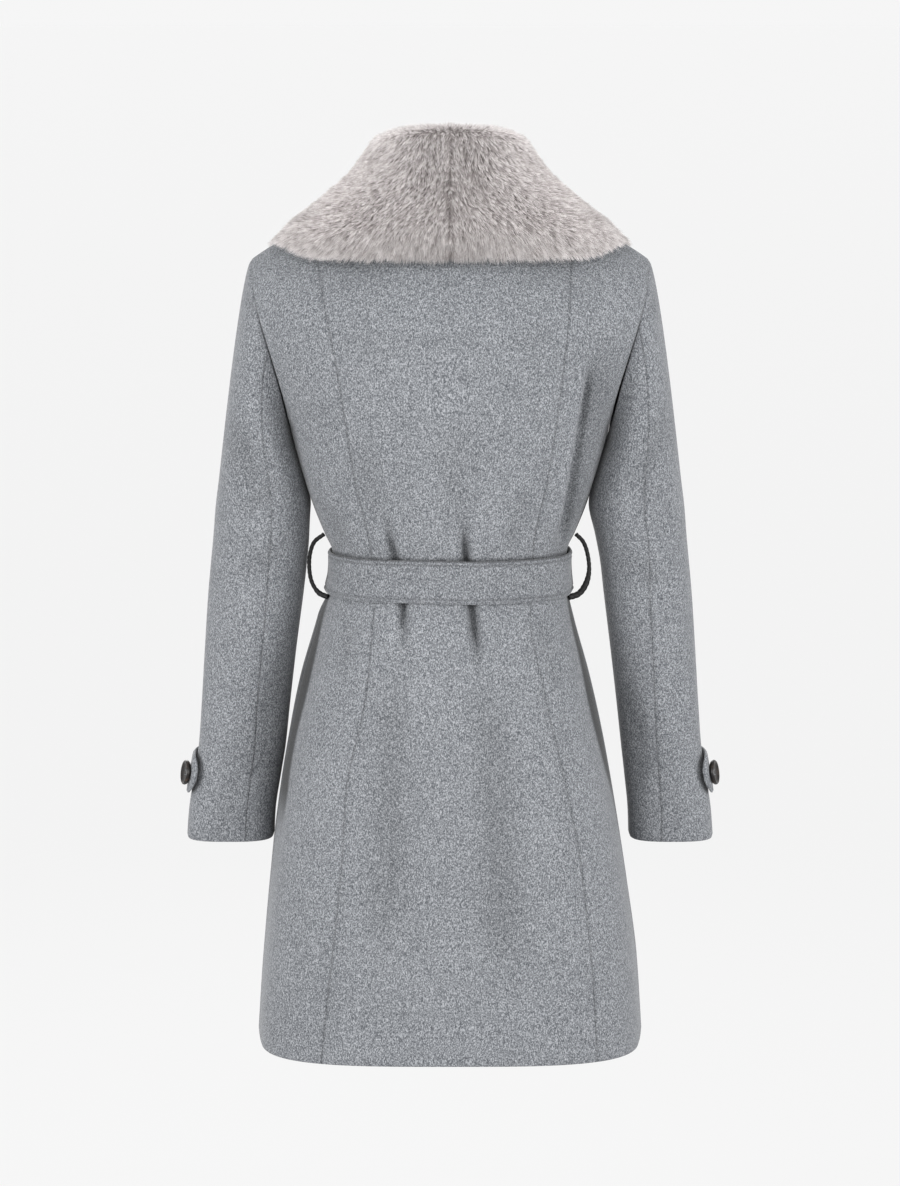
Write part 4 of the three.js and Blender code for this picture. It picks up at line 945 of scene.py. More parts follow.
# A sleeve's panel between two seams given as angles round the arm.
def sleevePanel(name, side, start, end, count):
    alongs = sleeveAlongs()
    heights = np.minimum(alongs, bicepHeight)
    starts, ends = start(heights), end(heights)
    roundLength = sleeve["ringRadius"] * np.radians(ends - starts)
    trim = np.degrees(panels["seamGap"] / 2 / sleeve["trimRadius"])
    distances = spreadColumns(roundLength, count)
    angles = starts[:, None] + trim + (ends - starts - 2 * trim)[:, None] * distances / roundLength[:, None]
    alongs = np.broadcast_to(alongs[:, None], angles.shape)
    plain = sleevePoint(side, alongs, angles)
    isBack = angles % 360 <= 180
    normals = gridNormals(plain)
    middle = sleevePoint(side, np.float64(-450), np.arange(0, 360, 10)).mean(axis=0)
    row = sleeve["middleRow"]
    outwardSign = np.sign(np.sum(normals[row] * (plain[row] - middle) * [1, 1, 0]))
    normals = normals * outwardSign
    facing = smoothStep(0.05, 0.45, np.abs(normals[..., 1]))
    creased = creaseDepth(plain, isBack, sleeveCreases[side]) * facing
    plain = plain - normals * creased[..., None]
    fromSeam = np.minimum(distances, roundLength[:, None] - distances)
    fromCap = np.where(alongs >= 0, alongs * sleeve["capLength"], sleeve["capLength"])
    seamRoll = edgeRoll(fromSeam, panels["seamRoll"], panels["seamReach"])
    cuffRoll = edgeRoll(alongs - cuffHeight, panels["hemRoll"], panels["hemReach"]) * (alongs < 0)
    roll = np.maximum(seamRoll, edgeRoll(fromCap, sleeve["capRoll"], sleeve["capReach"]))
    roll = np.maximum(roll, cuffRoll)
    outer = plain - normals * roll[..., None]
    inner = plain - normals * cloth["thickness"]
    points, faces = wallFaces(outer, inner)
    # Painted shade: darker along the seams, along the cap's seam and in the creases.
    clear = np.minimum(smoothStep(*wool["seamFade"], fromSeam), smoothStep(0.4, 3, fromCap))
    dim = mix(wool["seamShade"], 1, clear)
    dim = dim * np.exp(-wool["foldShade"] * np.maximum(0, creased))
    shade = np.concatenate([dim.ravel(), np.ones(dim.size)])
    piece = makePiece(name + "_cloth", points, faces, woolCloth, {"shade": shade})
    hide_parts(name)
    size, area = flatSize(plain)
    print(name, "flat", size, "area", area)


# The cuff tab: a strap with a rounded end that lies round the sleeve's outer side, with
# soft edges and a line of stitches near them.
tab = dict(
    height=-586, width=42, thickness=4, start=282, end=137, lift=5, roundedShare=0.17, bluntEnd=0.28,
    inset=4,
)
button = dict(
    angle=160, radius=13, thickness=5, rim=2, holeRadius=1.3, holeOffset=3.2, seat=0.4, crown=0.8,
    sides=48, holeSides=16, thread=0.55, threadPoints=9,
)
cuffMiddle = (225, -28)


# A point on the sleeve near its cuff and the direction outwards there.
def sleeveFrame(side, height, angle):
    at = sleevePoint(side, height, angle)
    alongArm = sleevePoint(side, height + 2, angle) - sleevePoint(side, height - 2, angle)
    around = sleevePoint(side, height, angle + 2) - sleevePoint(side, height, angle - 2)
    normal = unit(np.cross(alongArm, around))
    away = at - [side * cuffMiddle[0], cuffMiddle[1], 0]
    return at, normal * np.sign(np.sum(normal * away * [1, 1, 0], axis=-1, keepdims=True))


# How far the tab stands off the sleeve: further towards its buttoned end.
def tabLift(share):
    return cloth["layerGap"] + tab["lift"] * smoothStep(0.72, 1, share)


# Half the tab's width, which narrows at its end as an ellipse does and stops blunt.
def tabHalfWidth(share):
    rounded = tab["roundedShare"]
    past = np.clip((share - 1 + rounded) / rounded, 0, 1)
    return tab["width"] / 2 * np.maximum(tab["bluntEnd"], np.sqrt(np.maximum(0, 1 - past * past)))


def cuffTab(name, side):
    shares = 1 - (1 - np.linspace(0, 1, 62)) ** 1.3
    across = np.sin(np.linspace(-1, 1, 21) * math.pi / 2)
    share = np.broadcast_to(shares[:, None], (len(shares), len(across)))
    height = tab["height"] + across[None] * tabHalfWidth(shares)[:, None]
    at, normal = sleeveFrame(side, height, mix(tab["start"], tab["end"], share))
    fromEdge = (1 - np.abs(across[None])) * tabHalfWidth(shares)[:, None]
    fromEdge = np.minimum(fromEdge, (1 - share) * 130 + 0.01)
    softEdge = edgeRoll(fromEdge, 1.5, 2.6) + 0.35 * np.exp(-((fromEdge - tab["inset"]) / 0.9) ** 2)
    outer = at + normal * (tabLift(share) + tab["thickness"] - softEdge)[..., None]
    inner = at + normal * (tabLift(share) + edgeRoll(fromEdge, 0.9, 2))[..., None]
    points, faces = wallFaces(outer, inner)
    piece = makePiece(name + "_cloth", points, faces, woolCloth, {"shade": np.ones(len(points))})
    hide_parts(name)
    run = np.linspace(0.02, 0.965, 60)
    edgeLine = tabHalfWidth(run) - tab["inset"]
    stitchShares = np.concatenate([run, run[::-1]])
    stitchHeights = tab["height"] + np.concatenate([edgeLine, -edgeLine[::-1]])
    foot, out = sleeveFrame(side, stitchHeights, mix(tab["start"], tab["end"], stitchShares))
    line = foot + out * (tabLift(stitchShares) + tab["thickness"] - 0.25)[:, None]
    sewing = makePiece(name + "_stitches", *joinShapes([stitchRow(line, out)]), greyThread)
    size, area = flatSize(outer)
    print(name, "flat", size, "area", area)


# The button's closed surface, turned from its profile: dished, with a raised rim.
def buttonRings():
    radius, thick, rim = button["radius"], button["thickness"], button["rim"]
    profile = np.array([
        [0.01, 0], [radius - 3.5, 0], [radius - 1.8, 0.25], [radius - 0.5, thick * 0.3],
        [radius, thick * 0.55], [radius - 0.3, thick * 0.85], [radius - 1.2, thick],
        [radius - rim, thick * 0.97], [radius - rim - 1, thick * 0.84],
        [radius - rim - 2.4, thick * 0.66], [radius - rim - 4, thick * 0.58], [0.01, thick * 0.55],
    ])
    turn = np.linspace(0, 2 * np.pi, button["sides"], endpoint=False)
    level = np.broadcast_to(profile[:, 1:], (len(profile), button["sides"]))
    grid = np.stack([profile[:, :1] * np.cos(turn), level, profile[:, :1] * np.sin(turn)], axis=-1)
    return closedRings(grid)


# Rods where the four holes go, as one set of corners for each and their common faces.
def buttonDrills():
    angle = np.linspace(0, 2 * np.pi, button["holeSides"], endpoint=False)
    ring = np.stack([np.cos(angle), np.zeros(len(angle)), np.sin(angle)], axis=-1) * button["holeRadius"]
    rods = []
    for x, z in [(1, 1), (1, -1), (-1, 1), (-1, -1)]:
        spot = np.array([x, 0, z]) * button["holeOffset"] / math.sqrt(2)
        path = spot + np.array([[0, y, 0] for y in (-3, 0, 3, 9)])
        rods.append(closedRings(path[:, None] + ring[None]))
    return np.stack([points for points, _ in rods]), rods[0][1]


# Two arched threads between the holes.
def buttonThreads():
    reach = button["holeOffset"] / math.sqrt(2)
    count = button["threadPoints"]
    x = np.linspace(-reach, reach, count)
    lift = button["thickness"] * 0.55 + 0.8 * np.cos(x / reach * math.pi / 2) - 0.5
    threads = []
    for offset in (-1, 1):
        path = np.stack([x, lift, np.full(count, offset * reach)], axis=-1)
        threads.append(closedRings(tubeGrid(path, button["thread"], 8)))
    return np.stack([points for points, _ in threads]), threads[0][1]


# A button on the tab: its surface with the holes cut through, and the thread.
def cuffButton(name, side):
    share = (tab["start"] - button["angle"]) / (tab["start"] - tab["end"])
    foot, normal = sleeveFrame(side, np.float64(tab["height"]), np.float64(button["angle"]))
    centre = foot + normal * (tabLift(share) + tab["thickness"] + button["seat"] + button["crown"])
    turnTo = np.array(Vector((0, 1, 0)).rotation_difference(Vector(normal)).to_matrix())
    points, faces = buttonRings()
    body = makePiece(name + "_horn", points @ turnTo.T + centre, faces, hornButton)
    corners, faces = buttonDrills()
    drill = makePiece(name + "_drill", *joinShapes([(corners @ turnTo.T + centre, faces)]), hornButton)
    cut = body.modifiers.new("holes", "BOOLEAN")
    cut.operation, cut.object, cut.solver = "DIFFERENCE", drill, "EXACT"
    bpy.context.view_layer.update()
    cutMesh = bpy.data.meshes.new_from_object(body.evaluated_get(bpy.context.evaluated_depsgraph_get()))
    body.modifiers.clear()
    body.data = cutMesh
    body.data.set_sharp_from_angle(angle=math.radians(50))
    bpy.data.objects.remove(drill)
    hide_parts(name)
    corners, faces = buttonThreads()
    thread = makePiece(name + "_thread", *joinShapes([(corners @ turnTo.T + centre, faces)]), greyThread)


def buildSleeve(side):
    word = "left" if side == left else "right"
    backSeam = sleeveTable.seamLeft if side == left else sleeveTable.seamRight

    def frontSeam(angle):
        return lambda heights: np.full(heights.shape, float(angle))

    sleevePanel("sleeve_upper_" + word, side, backSeam, frontSeam(frontSleeveSeam), 44)
    sleevePanel("sleeve_under_" + word, side, frontSeam(frontSleeveSeam - 360), backSeam, 32)
    cuffTab("cuff_tab_" + word, side)
    cuffButton("cuff_button_" + word, side)


buildSleeve(left)
buildSleeve(right)
print("sleeves made")


# The belt

belt = dict(
    thickness=4.0, gap=1.1, halfWidth=22, stitchInset=4.5, rows=45, columns=150, lengthOfTurn=165,
    stitchShade=0.34, rimShade=0.6, stitchPoints=320,
)
knot = dict(x=34, width=50, height=58, depth=27)


# A point outside the body, clear of both front layers, and the direction outwards.
def overBody(height, turn, lift):
    height, turn = np.broadcast_arrays(np.asarray(height, float), np.asarray(turn, float))
    alongHeight = bodyPoint(height + 1.5, turn, folds=False) - bodyPoint(height - 1.5, turn, folds=False)
    alongTurn = bodyPoint(height, turn + 0.012, folds=False) - bodyPoint(height, turn - 0.012, folds=False)
    normal = unit(np.cross(alongHeight, alongTurn))
    point = bodyPoint(height, turn, folds=False)
    wrap = cloth["thickness"] + cloth["layerGap"]
    aroundFront = np.where(np.abs(turn) > 1, overlapBothWays(height, point[..., 0]), 0)
    return point + normal * (lift + wrap * aroundFront)[..., None], normal


# The belt's outer face: flat, with soft edges, a shallow groove at each line of stitches
# and a faint fullness that wanders along it.
def beltFace(fromMiddle, along):
    fromEdge = belt["halfWidth"] - np.abs(fromMiddle)
    soft = edgeRoll(fromEdge, 1.6, 2.4)
    groove = 1.3 * np.exp(-((fromEdge - belt["stitchInset"]) / 1.1) ** 2)
    full = 0.35 * np.sin(along * 0.061 + 1) * np.cos(fromMiddle / belt["halfWidth"] * 1.4)
    return belt["thickness"] - soft - groove + full


# How far the belt wanders up and down on its way round.
def beltSag(turn):
    return (0.9 * np.sin(turn * 4.1 + 0.6) + 0.5 * np.sin(turn * 9.3)) * 0.6


# The band: a closed ring of cloth round the waist, with painted shade along its stitches, on its top rim
# and on its inner side.
def beltBand():
    rows = belt["halfWidth"] * np.sin(np.linspace(-1, 1, belt["rows"]) * math.pi / 2)
    turn = np.linspace(-2, 2, belt["columns"], endpoint=False)
    turn = np.broadcast_to(turn[None], (len(rows), len(turn)))
    fromMiddle = np.broadcast_to(rows[:, None], turn.shape)
    height = beltMiddle + fromMiddle + beltSag(turn)
    face = beltFace(fromMiddle, (turn + 2) * belt["lengthOfTurn"])
    fromEdge = belt["halfWidth"] - np.abs(fromMiddle)
    outer, _ = overBody(height, turn, belt["gap"] + face)
    inner, _ = overBody(height, turn, belt["gap"] + edgeRoll(fromEdge, 1.0, 2))
    points, faces = wallFaces(outer, inner, ring=True)
    # Painted shade: darker in the grooves along the stitches and on the top rim, and set to 0.8 over the
    # whole inner side.
    lines = belt["stitchShade"] * np.exp(-((fromEdge - belt["stitchInset"]) / 0.9) ** 2)
    rim = belt["rimShade"] * (1 - smoothStep(0, 1.8, fromEdge)) * (fromMiddle > 0)
    shade = np.concatenate([(1 - lines - rim).ravel(), np.full(rim.size, 0.8)])
    piece = makePiece("belt_band_cloth", points, faces, beltCloth, {"shade": shade})
    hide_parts("belt_band")
    seams = []
    turn = np.linspace(-1.99, 1.99, belt["stitchPoints"])
    for sideOfBelt in (-1, 1):
        offset = sideOfBelt * (belt["halfWidth"] - belt["stitchInset"])
        face = beltFace(np.full(turn.shape, offset), (turn + 2) * belt["lengthOfTurn"])
        height = beltMiddle + offset + beltSag(turn)
        seams.append(stitchRow(*overBody(height, turn, belt["gap"] + face)))
    sewing = makePiece("belt_band_stitches", *joinShapes(seams), greyThread)
    closed = np.concatenate([outer, outer[:, :1]], axis=1)
    size, area = flatSize(closed)
    print("belt_band flat", size, "area", area)


# The turn at which the front reaches x.
def frontTurnAt(height, x):
    return np.where(x < 0, right, left) * (2 - shareAt(height, np.abs(x), False))


# The knot: a cushion drawn in at its waist, with folds that run slantwise into it.
def beltKnot():
    nearEdge = np.array([knot["x"] - knot["width"] / 2])
    nearTurn = frontTurnAt(np.array([beltMiddle]), nearEdge)
    face, _ = overBody(beltMiddle, nearTurn, belt["gap"] + belt["thickness"])
    centre = np.array([knot["x"], face[0, 1] - cloth["layerGap"], beltMiddle])
    up = np.radians(np.linspace(-86, 86, 46))[:, None]
    around = np.linspace(0, 2 * np.pi, 72, endpoint=False)[None]
    level = np.maximum(0.02, np.cos(up) ** 0.7)
    z = knot["height"] / 2 * signedPower(np.sin(up), 0.8) + 0 * around
    pinch = 1 - 0.12 * np.exp(-((z - 6) / 9) ** 2)
    x = knot["width"] / 2 * level * pinch * signedPower(np.cos(around), 0.8)
    rise = 0.5 + 0.5 * signedPower(np.sin(around), 0.8)
    slant = z * 0.8 + x * 0.55
    folds = 0.9 * np.sin(slant * 0.42) + 0.5 * np.sin(slant * 0.9 + x * 0.12)
    crossing = 2.2 * np.exp(-((x * 0.5 - z * 0.9 - 3) / 3.2) ** 2)
    size = 0.955 + (folds - crossing) * 0.012 * rise
    y = -knot["depth"] * level * pinch * rise * size
    grid = np.stack([x * size, y, z * (0.97 + 0.01 * folds)], axis=-1) + centre
    points, faces = closedRings(grid)
    piece = makePiece("belt_knot_cloth", points, faces, beltCloth, {"shade": np.ones(len(points))})
    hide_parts("belt_knot")


beltTails = records("name topX endX length lift over drop wave", [
    ["belt_tail_under", 46, 84, 262, 1.8, 0, 3.8, 0.4],
    ["belt_tail_over", 24, 14, 318, 1.8, 6, 4.5, 1.9],
])


tailRows, tailColumns = 74, 21


# A loose end of the belt, hanging from under the knot over the front.
def beltTail(tail):
    shares = np.linspace(0, 1, tailRows)
    across = np.sin(np.linspace(-1, 1, tailColumns) * math.pi / 2)
    top = beltMiddle - knot["height"] / 2 - tail.drop
    height = top - tail.length * shares
    middle = mix(tail.topX, tail.endX, shares ** 0.8)
    halfWidth = mix(15, belt["halfWidth"], smoothStep(0, 0.25, shares))
    x = middle[:, None] + across[None] * halfWidth[:, None]
    heights = np.broadcast_to(height[:, None], x.shape)
    turn = frontTurnAt(heights.ravel(), x.ravel()).reshape(x.shape)
    away = tail.lift + 6 * np.exp(-shares * 9) + tail.over * smoothStep(0.75, 0.45, shares)
    fromEdge = (1 - np.abs(across[None])) * halfWidth[:, None]
    fromEdge = np.minimum(fromEdge, ((1 - shares) * tail.length)[:, None] + 0.01)
    groove = 0.45 * np.exp(-((fromEdge - belt["stitchInset"]) / 1.1) ** 2)
    soft = edgeRoll(fromEdge, 1.5, 2.4)
    flutter = tail.wave * (0.5 + 0.5 * np.sin(shares * 9 + 1))[:, None] * (1 + across[None]) / 2
    lift = away[:, None] + flutter * smoothStep(0.1, 0.3, shares)[:, None]
    outer, _ = overBody(heights, turn, lift + belt["thickness"] - soft - groove)
    inner, _ = overBody(heights, turn, lift + edgeRoll(fromEdge, 1.0, 2))
    points, faces = wallFaces(outer, inner)
    piece = makePiece(tail.name + "_cloth", points, faces, beltCloth, {"shade": np.ones(len(points))})
    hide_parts(tail.name)
    seams = []
    normals = gridNormals(outer)
    normals = normals * np.sign(-np.mean(normals[..., 1]))
    wanted = halfWidth - belt["stitchInset"]
    for column in (-1, 1):
        at = np.interp(column * wanted / halfWidth, across, np.arange(tailColumns))
        low = np.minimum(np.floor(at).astype(int), tailColumns - 2)
        share = (at - low)[:, None]
        rows = np.arange(tailRows)
        line = outer[rows, low] * (1 - share) + outer[rows, low + 1] * share
        lineNormal = normals[rows, low]
        seams.append(stitchRow(line[1:-2] + lineNormal[1:-2] * 0.1, lineNormal[1:-2]))
    sewing = makePiece(tail.name + "_stitches", *joinShapes(seams), greyThread)
    size, area = flatSize(outer)
    print(tail.name, "flat", size, "area", area)


# Belt loops: a cord of two twisted strands that leaves the side seam above the belt and
# comes back to it below.
loop = dict(
    cord=4.5, depth=15, turn=0.9, seat=1.3, heights=(-331, -397), twist=0.62, sides=20, points=120,
    swell={left: 0.3, right: 0.5}, swellFrom={left: (0.78, 0.88), right: (0.45, 0.75)},
)
loopRoutes = {
    left: [(139, -340), (143.5, -353), (144, -370), (141, -383), (134.5, -392.5)],
    right: [(136.5, -340), (141, -353), (142.5, -370), (139, -384), (132, -393.5)],
}


# A smooth curve through points in space: cubic pieces with chord-length steps.
def smoothPath(points, count):
    points = np.array(points, float)
    steps = np.linalg.norm(np.diff(points, axis=0), axis=1) ** 0.5
    at = np.concatenate([[0], np.cumsum(steps)])
    slopes = np.gradient(points, at, axis=0)
    t = np.linspace(0, at[-1], count)
    i = np.clip(np.searchsorted(at, t) - 1, 0, len(points) - 2)
    width = (at[i + 1] - at[i])[:, None]
    s = (t - at[i])[:, None] / width
    s2, s3 = s * s, s * s * s
    return ((2 * s3 - 3 * s2 + 1) * points[i] + (s3 - 2 * s2 + s) * width * slopes[i]
            + (3 * s2 - 2 * s3) * points[i + 1] + (s3 - s2) * width * slopes[i + 1])


# The cord's tube; its radius follows the two strands as they turn, and swells lower down.
def beltLoop(name, side):
    ends = [overBody(h, side * loop["turn"], np.float64(loop["seat"]))[0] for h in loop["heights"]]
    between = [(side * out, loop["depth"], height) for out, height in loopRoutes[side]]
    path = smoothPath([ends[0], *between, ends[1]], loop["points"])
    along = np.concatenate([[0], np.cumsum(np.linalg.norm(np.diff(path, axis=0), axis=1))])
    turn = np.linspace(0, 2 * np.pi, loop["sides"], endpoint=False)
    lobes = np.abs(np.cos(turn[None] - along[:, None] * loop["twist"]))
    radii = loop["cord"] / 2 * (0.86 + 0.12 * lobes)
    low = along / along[-1]
    swell = 1 + loop["swell"][side] * smoothStep(*loop["swellFrom"][side], low)
    points, faces = closedRings(tubeGrid(path, radii * swell[:, None], loop["sides"]))
    piece = makePiece(name + "_cord", points, faces, blackCord)
    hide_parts(name)


beltBand()
beltKnot()
for beltEnd in beltTails:
    beltTail(beltEnd)
beltLoop("belt_loop_left", left)
beltLoop("belt_loop_right", right)
print("belt made")


# The collar, as in the solids, with its skin set in so that the pile ends where they do

collarTable = table(
    "along neck seam rollX rollY rollZ edgeX edgeY edgeZ radius stand fall dip swell",
    [
        [0, 0, -12, 0, 68, 89, 0, 112, -47, 17, 9, 13, 2, 2],
        [0.14, 27, -12, 33, 60, 86.5, 66, 105, -47, 17, 9, 13, 3, 2],
        [0.28, 60, -12, 52, 34, 77, 140, 80, -44, 16, 9, 12.5, 4, 1],
        [0.38, 90, -12, 58.5, 6, 68, 183, 24, -29, 15, 9, 11, 4.5, 1],
        [0.44, 90, -23, 60, -15, 59, 187, -14, -34, 14, 8.5, 11, 5, 1],
        [0.5, 90, -34, 59, -36, 42, 186, -54, -60, 13, 8, 11, 7, 3],
        [0.62, 90, -60, 53, -72, -14, 170, -94, -118, 11, 6, 11.5, 5, 5],
        [0.75, 90, -104, 41, -104, -88, 138, -114, -172, 10, 4, 12, 3, 3],
        [0.88, 90, -162, 22, -124, -152, 98, -134, -236, 9, 3, 11.5, 2, 2],
        [1, 90, -216, 4, -131, -208, 56, -136, -284, 8.5, 3, 11, 1, 1],
        [1.09, 90, -285, -28, -134, -273, 8, -138, -318, 8, 3, 10, 0, 0],
        [1.16, 90, -328, -60, -118, -320, -42, -127, -337, 6.5, 3, 9, 0, 0],
    ],
)
fallDips = smoothCurve([0, 0.3, 0.55, 0.8, 1], [0, 1, 0.6, 0, 0])
fallSwells = smoothCurve([0, 0.55, 0.8, 0.94, 1], [0, 0, 0.8, 0.9, 0])
fallWallShare = smoothCurve([0, 0.3, 0.8, 0.94, 1], [1, 1, 1, 0.9, 0.55])
collar = dict(
    seamLift=1.6, end={left: 1, right: 1.16}, sections=120, across=50, backSections=53,
    skinInset=6.8, wingInset=2.0, edgeInset=9.5, lump=0.9, parting=2.2, skinTone=0.16,
)


# Where the collar is sewn on: the back neckline, and past the neck point the front edge.
def collarSeam(side, along):
    turn = np.radians(np.minimum(collarTable.neck(along), 90))
    around = np.stack([neck["halfWidth"] * np.sin(turn),
                       neck["side"] + (neck["back"] - neck["side"]) * np.cos(turn),
                       backNeckHeight * np.cos(turn) ** 2], axis=-1)
    height = collarTable.seam(along)
    edge = bodyPoint(height, seamTurns(height, side, "frontEdge", False), folds=False, over=side == right)
    edge[..., 0] *= side
    return np.where((collarTable.neck(along) < 89.9)[:, None], around, edge)


# The fur side and the under side of the collar: up the stand, round the roll and down
# the fall to the edge, for many sections at once.
def collarSides(side, along):
    def at(name, t):
        return np.stack([getattr(collarTable, name + axis)(t) for axis in "XYZ"], axis=-1)

    roll, edge = at("roll", along), at("edge", along)
    tangent = at("roll", along + 0.02) - at("roll", np.maximum(0, along - 0.02))
    up = unit(roll - edge)
    out = unit(np.cross(up, tangent))
    out[along < 0.01, 0] = 0
    out = unit(out)
    r, stand, fall = (getattr(collarTable, name)(along)[:, None] for name in ("radius", "stand", "fall"))
    dip, swell = collarTable.dip(along)[:, None], collarTable.swell(along)[:, None]
    centre = roll - up * r
    onNeck = (1 - smoothStep(0.34, 0.46, along))[:, None]
    level = unit(out * [1, 1, 0])
    lift = np.array([0, 0, collar["seamLift"]]) * onNeck + up * collar["seamLift"] * (1 - onNeck)
    seamOuter = collarSeam(side, along) + lift + level * 0.25 * stand * onNeck
    seamInner = seamOuter - level * stand
    furSide = [seamInner, mix(seamInner, centre - out * r, 0.5)]
    underSide = [seamOuter, mix(seamOuter, centre + out * (stand - r), 0.5)]
    innerRadius, innerCentre = (2 * r - fall - stand) / 2, (stand - fall) / 2
    for degrees in np.linspace(-90, 90, 13):
        sine, cosine = math.sin(math.radians(degrees)), math.cos(math.radians(degrees))
        furSide.append(centre + out * r * sine + up * r * cosine)
        underSide.append(centre + out * (innerCentre + innerRadius * sine) + up * innerRadius * cosine)
    top = centre + out * r
    for share in np.linspace(0.08, 1, 16):
        point = mix(top, edge, share) + out * (fallSwells(share) * swell - fallDips(share) * dip)
        furSide.append(point - out * 0.2 * fall * (share == 1))
        underSide.append(point - out * fall * fallWallShare(share))
    sides = [np.stack(points, axis=1) for points in (furSide, underSide)]
    onSeam = (along < 0.1)[:, None]
    for points in sides:
        points[..., 0] = np.where(onSeam, np.maximum(points[..., 0], cloth["seamGap"] / 2), points[..., 0])
        points[..., 0] *= side
    return sides


# The skin under the pile as two grids, set in from the solids' surface and parted at the
# centre back seam, with the pile's directions on it.
def collarSkin(side):
    along = np.linspace(0, collar["end"][side] - 0.008, collar["sections"])
    furSide, underSide = collarSides(side, along)
    shares = np.linspace(0, 1, collar["across"])
    _, furLengths = evenly(furSide, shares)
    _, underLengths = evenly(underSide, shares)
    dense = np.linspace(0, 1, 240)
    furDense, _ = evenly(furSide, dense)
    underDense, _ = evenly(underSide, dense)

    def upTo(lines, lengths):
        end = 1 - collar["edgeInset"] / lengths
        at = shares[None] * end[:, None] * (len(dense) - 1)
        i = np.minimum(at.astype(int), len(dense) - 2)
        s = (at - i)[..., None]
        rows = np.arange(len(lines))[:, None]
        return lines[rows, i] * (1 - s) + lines[rows, i + 1] * s

    skin, under = upTo(furDense, furLengths), upTo(underDense, underLengths)
    normals = gridNormals(skin)
    normals = normals * np.sign(np.mean(np.sum(normals * (skin - under), axis=-1)[:, 30:]))
    down = unit(np.gradient(skin, axis=1))
    across = unit(np.gradient(skin, axis=0))
    p = np.cumsum(np.linalg.norm(np.diff(skin[:, 40], axis=0, prepend=skin[:1, 40]), axis=1))
    p = np.broadcast_to(p[:, None], skin.shape[:2])
    q = shares[None] * furLengths[:, None]
    lumps = np.sin(p * 0.21 + 1.3 * np.sin(q * 0.13)) * np.sin(q * 0.24 + 1.1 * np.sin(p * 0.11))
    parting = collar["parting"] * np.exp(-((p / 4) ** 2)) * smoothStep(0.42, 0.55, shares)[None]
    stand = 1 - 0.35 * smoothStep(0.35, 0.1, shares)[None]
    wing = np.exp(-(((along - 0.36) / 0.14) ** 2))[:, None] * smoothStep(0.4, 0.6, shares)[None]
    inset = (collar["skinInset"] - collar["lump"] * lumps) * stand + collar["wingInset"] * wing + parting
    skin = skin - normals * inset[..., None]
    share = np.broadcast_to(shares[None], skin.shape[:2])
    return SimpleNamespace(
        side=side, skin=skin, under=under, normals=normals, down=down, across=across, p=p, q=q, share=share,
    )


# The pile: fine tapered strands with three sides. Each leans down the collar and outwards
# from the centre back, and is drawn towards the tip of the lock nearest to it.
pile = dict(
    backCount=58000, frontCount=38000, length=7.6, lock=3.4, lockGrid=(600, 120), sweep=0.34,
    # rollHighlight is a painted highlight near the roll; wingShade and partingShade are painted shade at
    # the wings and along the centre back parting.
    radius=0.30, gather=0.16, wander=2.6, rootTone=0.05, tipTone=0.84, rollHighlight=0.20, edgeTone=0.13,
    wingShade=-0.13, partingShade=-0.30,
)


